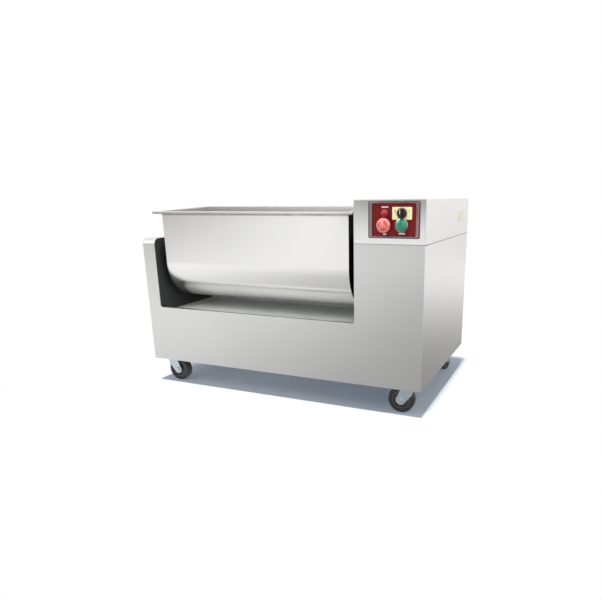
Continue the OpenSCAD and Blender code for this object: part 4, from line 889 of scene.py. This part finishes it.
# The ring's section in millimetres: radius, and height above the plate.
RING_SECTION = ((20, 0), (22.5, 0), (22.5, 7), (21.8, 9), (20.4, 9.6), (19.6, 9), (19.6, 1))


def start_ring():
    """Bright guard ring round the start button."""
    profile = [(r * MM, PLATE_T + h * MM) for r, h in RING_SECTION]
    sections = []
    for i in range(RING_STEPS):
        a = math.tau * i / RING_STEPS
        sections.append([cab(COL_B + r * math.cos(a), -h, ROW_A + r * math.sin(a))
                         for r, h in profile])
    bm = bmesh.new()
    sweep(bm, sections)
    piece("start_ring", close_mesh("start_ring", bm), "polished_stainless", "cabinet")


BEAD_ROOT, BEAD_SHOULDER, BEAD_CREST = 1199.3 * MM, 1200.25 * MM, 1200.6 * MM
BEAD_Y0, BEAD_LENGTH, BEAD_COUNT = 1 * MM, 708 * MM, 60
BEAD_HALF, BEAD_WAIST, BEAD_CORNER = 1.1 * MM, 0.85, 150 * MM


def seam_sealant_and_shade():
    """Dark bead in the groove where the control box sits on the right side panel, uneven along
    its length and thicker toward the front corner; its dark grey also paints the groove's shade
    line."""
    sections = []
    for i in range(BEAD_COUNT + 1):
        y = BEAD_Y0 + BEAD_LENGTH * i / BEAD_COUNT
        thick = BEAD_HALF * (1 + 0.10 * math.sin(i * 1.7) + 0.12 * math.sin(i * 0.63 + 1))
        thick *= 1 + 0.6 * max(0, 1 - y / BEAD_CORNER)
        waist = thick * BEAD_WAIST
        ring = [(BEAD_ROOT, thick), (BEAD_SHOULDER, waist), (BEAD_CREST, 0),
                (BEAD_SHOULDER, -waist), (BEAD_ROOT, -thick)]
        sections.append([cab(x, y, SEAM_Z + z) for x, z in ring])
    bm = bmesh.new()
    sweep(bm, sections, closed=False)
    piece("seam_sealant_and_shade", close_mesh("seam_sealant_and_shade", bm), "sealant_and_shade_grey", "cabinet")


GRIP_GAP, GRIP_H = 0.3 * MM, 20 * MM
LINE_UP, LINE_W, LINE_H, LINE_R = 6 * MM, 2 * MM, 16 * MM, 0.9 * MM
LINE_PROUD, LINE_SUNK = 0.25 * MM, 0.5 * MM


def selector_line():
    """White index line let into the selector's grip."""
    bm = bmesh.new()
    front = -(PLATE_T + LEGEND_T + COLLAR_T + GRIP_GAP + GRIP_H)
    outline = soft_outline(COL_B, ROW_B + LINE_UP, LINE_W, LINE_H, LINE_R)
    flat_block(bm, outline, front - LINE_PROUD, front + LINE_SUNK)
    piece("selector_line", close_mesh("selector_line", bm), "mark_white", "selector")


# ---------------------------------------------------------------- repeats by Geometry Nodes
def node_tree(name, sizes):
    """A Geometry Nodes tree with a geometry input, named sizes and a geometry output."""
    return new_tree(name, "GeometryNodeTree", [("Geometry", "NodeSocketGeometry", None), *sizes],
                    [("Geometry", "NodeSocketGeometry")])


def finish_tree(tree, gin, gout, instances):
    """Makes the instances real, smooth and painted, and ends the tree with them."""
    realize = tree.nodes.new("GeometryNodeRealizeInstances")
    smooth = tree.nodes.new("GeometryNodeSetShadeSmooth")
    paint = tree.nodes.new("GeometryNodeSetMaterial")
    tree.links.new(instances, realize.inputs[0])
    tree.links.new(realize.outputs[0], smooth.inputs["Geometry"])
    tree.links.new(smooth.outputs[0], paint.inputs["Geometry"])
    tree.links.new(gin.outputs["Material"], paint.inputs["Material"])
    tree.links.new(paint.outputs[0], gout.inputs[0])


def bead_row_tree():
    """Overlapping weld ripples along the edges of a drawn line."""
    tree, gin, gout = node_tree("bead_row", [
        ("Bead Radius", NUMBER, 1.8 * MM), ("Spacing", NUMBER, 1.6 * MM),
        ("Wobble", NUMBER, 0.15), ("Material", "NodeSocketMaterial", None)])
    nodes, links = tree.nodes, tree.links
    curve = nodes.new("GeometryNodeMeshToCurve")
    resample = nodes.new("GeometryNodeResampleCurve")
    resample.mode = "LENGTH"
    bead = nodes.new("GeometryNodeMeshUVSphere")
    bead.inputs["Segments"].default_value = 8
    bead.inputs["Rings"].default_value = 5
    scatter = nodes.new("GeometryNodeInstanceOnPoints")
    chance = nodes.new("FunctionNodeRandomValue")
    chance.inputs["Seed"].default_value = 7
    low = math_node(nodes, links, "SUBTRACT", 1.0, gin.outputs["Wobble"])
    links.new(gin.outputs["Geometry"], curve.inputs["Mesh"])
    links.new(curve.outputs[0], resample.inputs["Curve"])
    links.new(gin.outputs["Spacing"], resample.inputs["Length"])
    links.new(gin.outputs["Bead Radius"], bead.inputs["Radius"])
    links.new(resample.outputs[0], scatter.inputs["Points"])
    links.new(bead.outputs["Mesh"], scatter.inputs["Instance"])
    links.new(low, chance.inputs[2])
    chance.inputs[3].default_value = 1.0
    links.new(chance.outputs[1], scatter.inputs["Scale"])
    finish_tree(tree, gin, gout, scatter.outputs[0])
    return tree


def cap_screw_tree():
    """Round head with a hexagon socket on every vertex. It points along the vertex's place
    times Share, plus Way."""
    tree, gin, gout = node_tree("cap_screws", [
        ("Head Radius", NUMBER, 4 * MM), ("Head Height", NUMBER, 4 * MM),
        ("Share", VECTOR, (0, 0, 0)), ("Way", VECTOR, (0, 0, 1)),
        ("Material", "NodeSocketMaterial", None)])
    nodes, links = tree.nodes, tree.links
    head = nodes.new("GeometryNodeMeshCylinder")
    head.inputs["Vertices"].default_value = 24
    socket = nodes.new("GeometryNodeMeshCylinder")
    socket.inputs["Vertices"].default_value = 6
    lift = nodes.new("GeometryNodeTransform")
    join = nodes.new("ShaderNodeCombineXYZ")
    cut = nodes.new("GeometryNodeMeshBoolean")
    cut.operation = "DIFFERENCE"
    scatter = nodes.new("GeometryNodeInstanceOnPoints")
    links.new(gin.outputs["Head Radius"], head.inputs["Radius"])
    links.new(gin.outputs["Head Height"], head.inputs["Depth"])
    half_radius = math_node(nodes, links, "MULTIPLY", gin.outputs["Head Radius"], 0.5)
    half_height = math_node(nodes, links, "MULTIPLY", gin.outputs["Head Height"], 0.5)
    links.new(half_radius, socket.inputs["Radius"])
    links.new(gin.outputs["Head Height"], socket.inputs["Depth"])
    links.new(half_height, join.inputs["Z"])
    links.new(join.outputs[0], lift.inputs["Translation"])
    links.new(socket.outputs["Mesh"], lift.inputs["Geometry"])
    links.new(head.outputs["Mesh"], cut.inputs["Mesh 1"])
    links.new(lift.outputs[0], cut.inputs["Mesh 2"])
    links.new(gin.outputs["Geometry"], scatter.inputs["Points"])
    links.new(cut.outputs["Mesh"], scatter.inputs["Instance"])
    place = nodes.new("GeometryNodeInputPosition")
    point = nodes.new("ShaderNodeVectorMath")
    point.operation = "MULTIPLY_ADD"
    lay = nodes.new("FunctionNodeAlignRotationToVector")
    lay.axis = "Z"
    links.new(place.outputs[0], point.inputs[0])
    links.new(gin.outputs["Share"], point.inputs[1])
    links.new(gin.outputs["Way"], point.inputs[2])
    links.new(point.outputs[0], lay.inputs["Vector"])
    links.new(lay.outputs[0], scatter.inputs["Rotation"])
    finish_tree(tree, gin, gout, scatter.outputs[0])
    return tree


def ball_race_tree():
    """A ring of bearing balls round the z axis at every vertex."""
    tree, gin, gout = node_tree("ball_race", [
        ("Race Radius", NUMBER, 24 * MM), ("Ball Radius", NUMBER, 2.5 * MM),
        ("Balls", "NodeSocketInt", 24), ("Material", "NodeSocketMaterial", None)])
    nodes, links = tree.nodes, tree.links
    circle = nodes.new("GeometryNodeMeshCircle")
    ball = nodes.new("GeometryNodeMeshUVSphere")
    ball.inputs["Segments"].default_value = 10
    ball.inputs["Rings"].default_value = 6
    ring = nodes.new("GeometryNodeInstanceOnPoints")
    scatter = nodes.new("GeometryNodeInstanceOnPoints")
    links.new(gin.outputs["Balls"], circle.inputs["Vertices"])
    links.new(gin.outputs["Race Radius"], circle.inputs["Radius"])
    links.new(gin.outputs["Ball Radius"], ball.inputs["Radius"])
    links.new(circle.outputs[0], ring.inputs["Points"])
    links.new(ball.outputs["Mesh"], ring.inputs["Instance"])
    links.new(gin.outputs["Geometry"], scatter.inputs["Points"])
    links.new(ring.outputs[0], scatter.inputs["Instance"])
    finish_tree(tree, gin, gout, scatter.outputs[0])
    return tree


def grow(name, points, edges, tree, sizes, material, body):
    """Runs a tree on a few points or a drawn line and keeps the result as a plain piece."""
    base = bpy.data.meshes.new(name)
    base.from_pydata(points, edges, [])
    obj = add_object(name, base)
    build = obj.modifiers.new("build", "NODES")
    build.node_group = tree
    wanted = dict(sizes, Material=MATERIALS[material])
    for item in tree.interface.items_tree:
        if item.item_type == "SOCKET" and item.in_out == "INPUT" and item.name in wanted:
            build[item.identifier] = wanted[item.name]
    mesh = evaluated_mesh(obj)
    mesh.name = name
    mesh.set_sharp_from_angle(angle=CREASE)
    piece(name, mesh, material, body)


WELD_DROP, WELD_STEPS = 12 * MM, 40


def trough_line(x, radius):
    """The trough's U at one end: down the front wall, round the bottom and up the rear wall."""
    points = [cab(x, AXIS_Y - radius, RIM_Z - WELD_DROP)]
    for i in range(WELD_STEPS + 1):
        a = math.pi + math.pi * i / WELD_STEPS
        points.append(cab(x, AXIS_Y + radius * math.cos(a), AXIS_Z + radius * math.sin(a)))
    points.append(cab(x, AXIS_Y + radius, RIM_Z + REAR_RISE - WELD_DROP))
    return points


def chain(points):
    return [(i, i + 1) for i in range(len(points) - 1)]


def trough_welds(tree):
    for side, x in (("left", TROUGH_X0 + SHEET), ("right", TROUGH_X1 - SHEET)):
        line = trough_line(x, TROUGH_R - SHEET)
        grow("trough_weld_" + side, line, chain(line), tree, {}, "weld_steel", "trough")


SCREW_SIZE = 5 * MM


def hub_screws(tree):
    """A cap screw through each paddle hub, across from its arm."""
    points = []
    for k in range(ARM_COUNT):
        away = math.radians(90 * k)
        points.append(cab(ARM_X0 + k * ARM_STEP,
                          AXIS_Y + HUB_R * math.sin(away), AXIS_Z - HUB_R * math.cos(away)))
    way = -cab(0, AXIS_Y, AXIS_Z)
    sizes = {"Head Radius": SCREW_SIZE, "Head Height": SCREW_SIZE,
             "Share": (0, 1, 1), "Way": (0, way.y, way.z)}
    grow("hub_screws", points, [], tree, sizes, "polished_stainless", "mixer")


def caster_races(tree):
    """The balls that show between each fork and its top plate."""
    sizes = {"Race Radius": RACE_R, "Ball Radius": RACE_BALL, "Balls": RACE_COUNT}
    for name, (x, y) in CASTERS.items():
        grow("ball_race_" + name, [cab(x, y, RACE_Z)], [], tree, sizes, "turned_steel",
             "caster_" + name)


set_camera()
set_world()
lay_floor()
bpy.context.scene.view_settings.view_transform = "Standard"
set_softboxes()
set_overhead_lamp()
set_cards()
dress_cad_nodes()
panel_frame()
label_strips()
dial_marks()
stop_arrows()
lamp_dome()
start_ring()
selector_line()
seam_sealant_and_shade()
trough_welds(bead_row_tree())
hub_screws(cap_screw_tree())
caster_races(ball_race_tree())
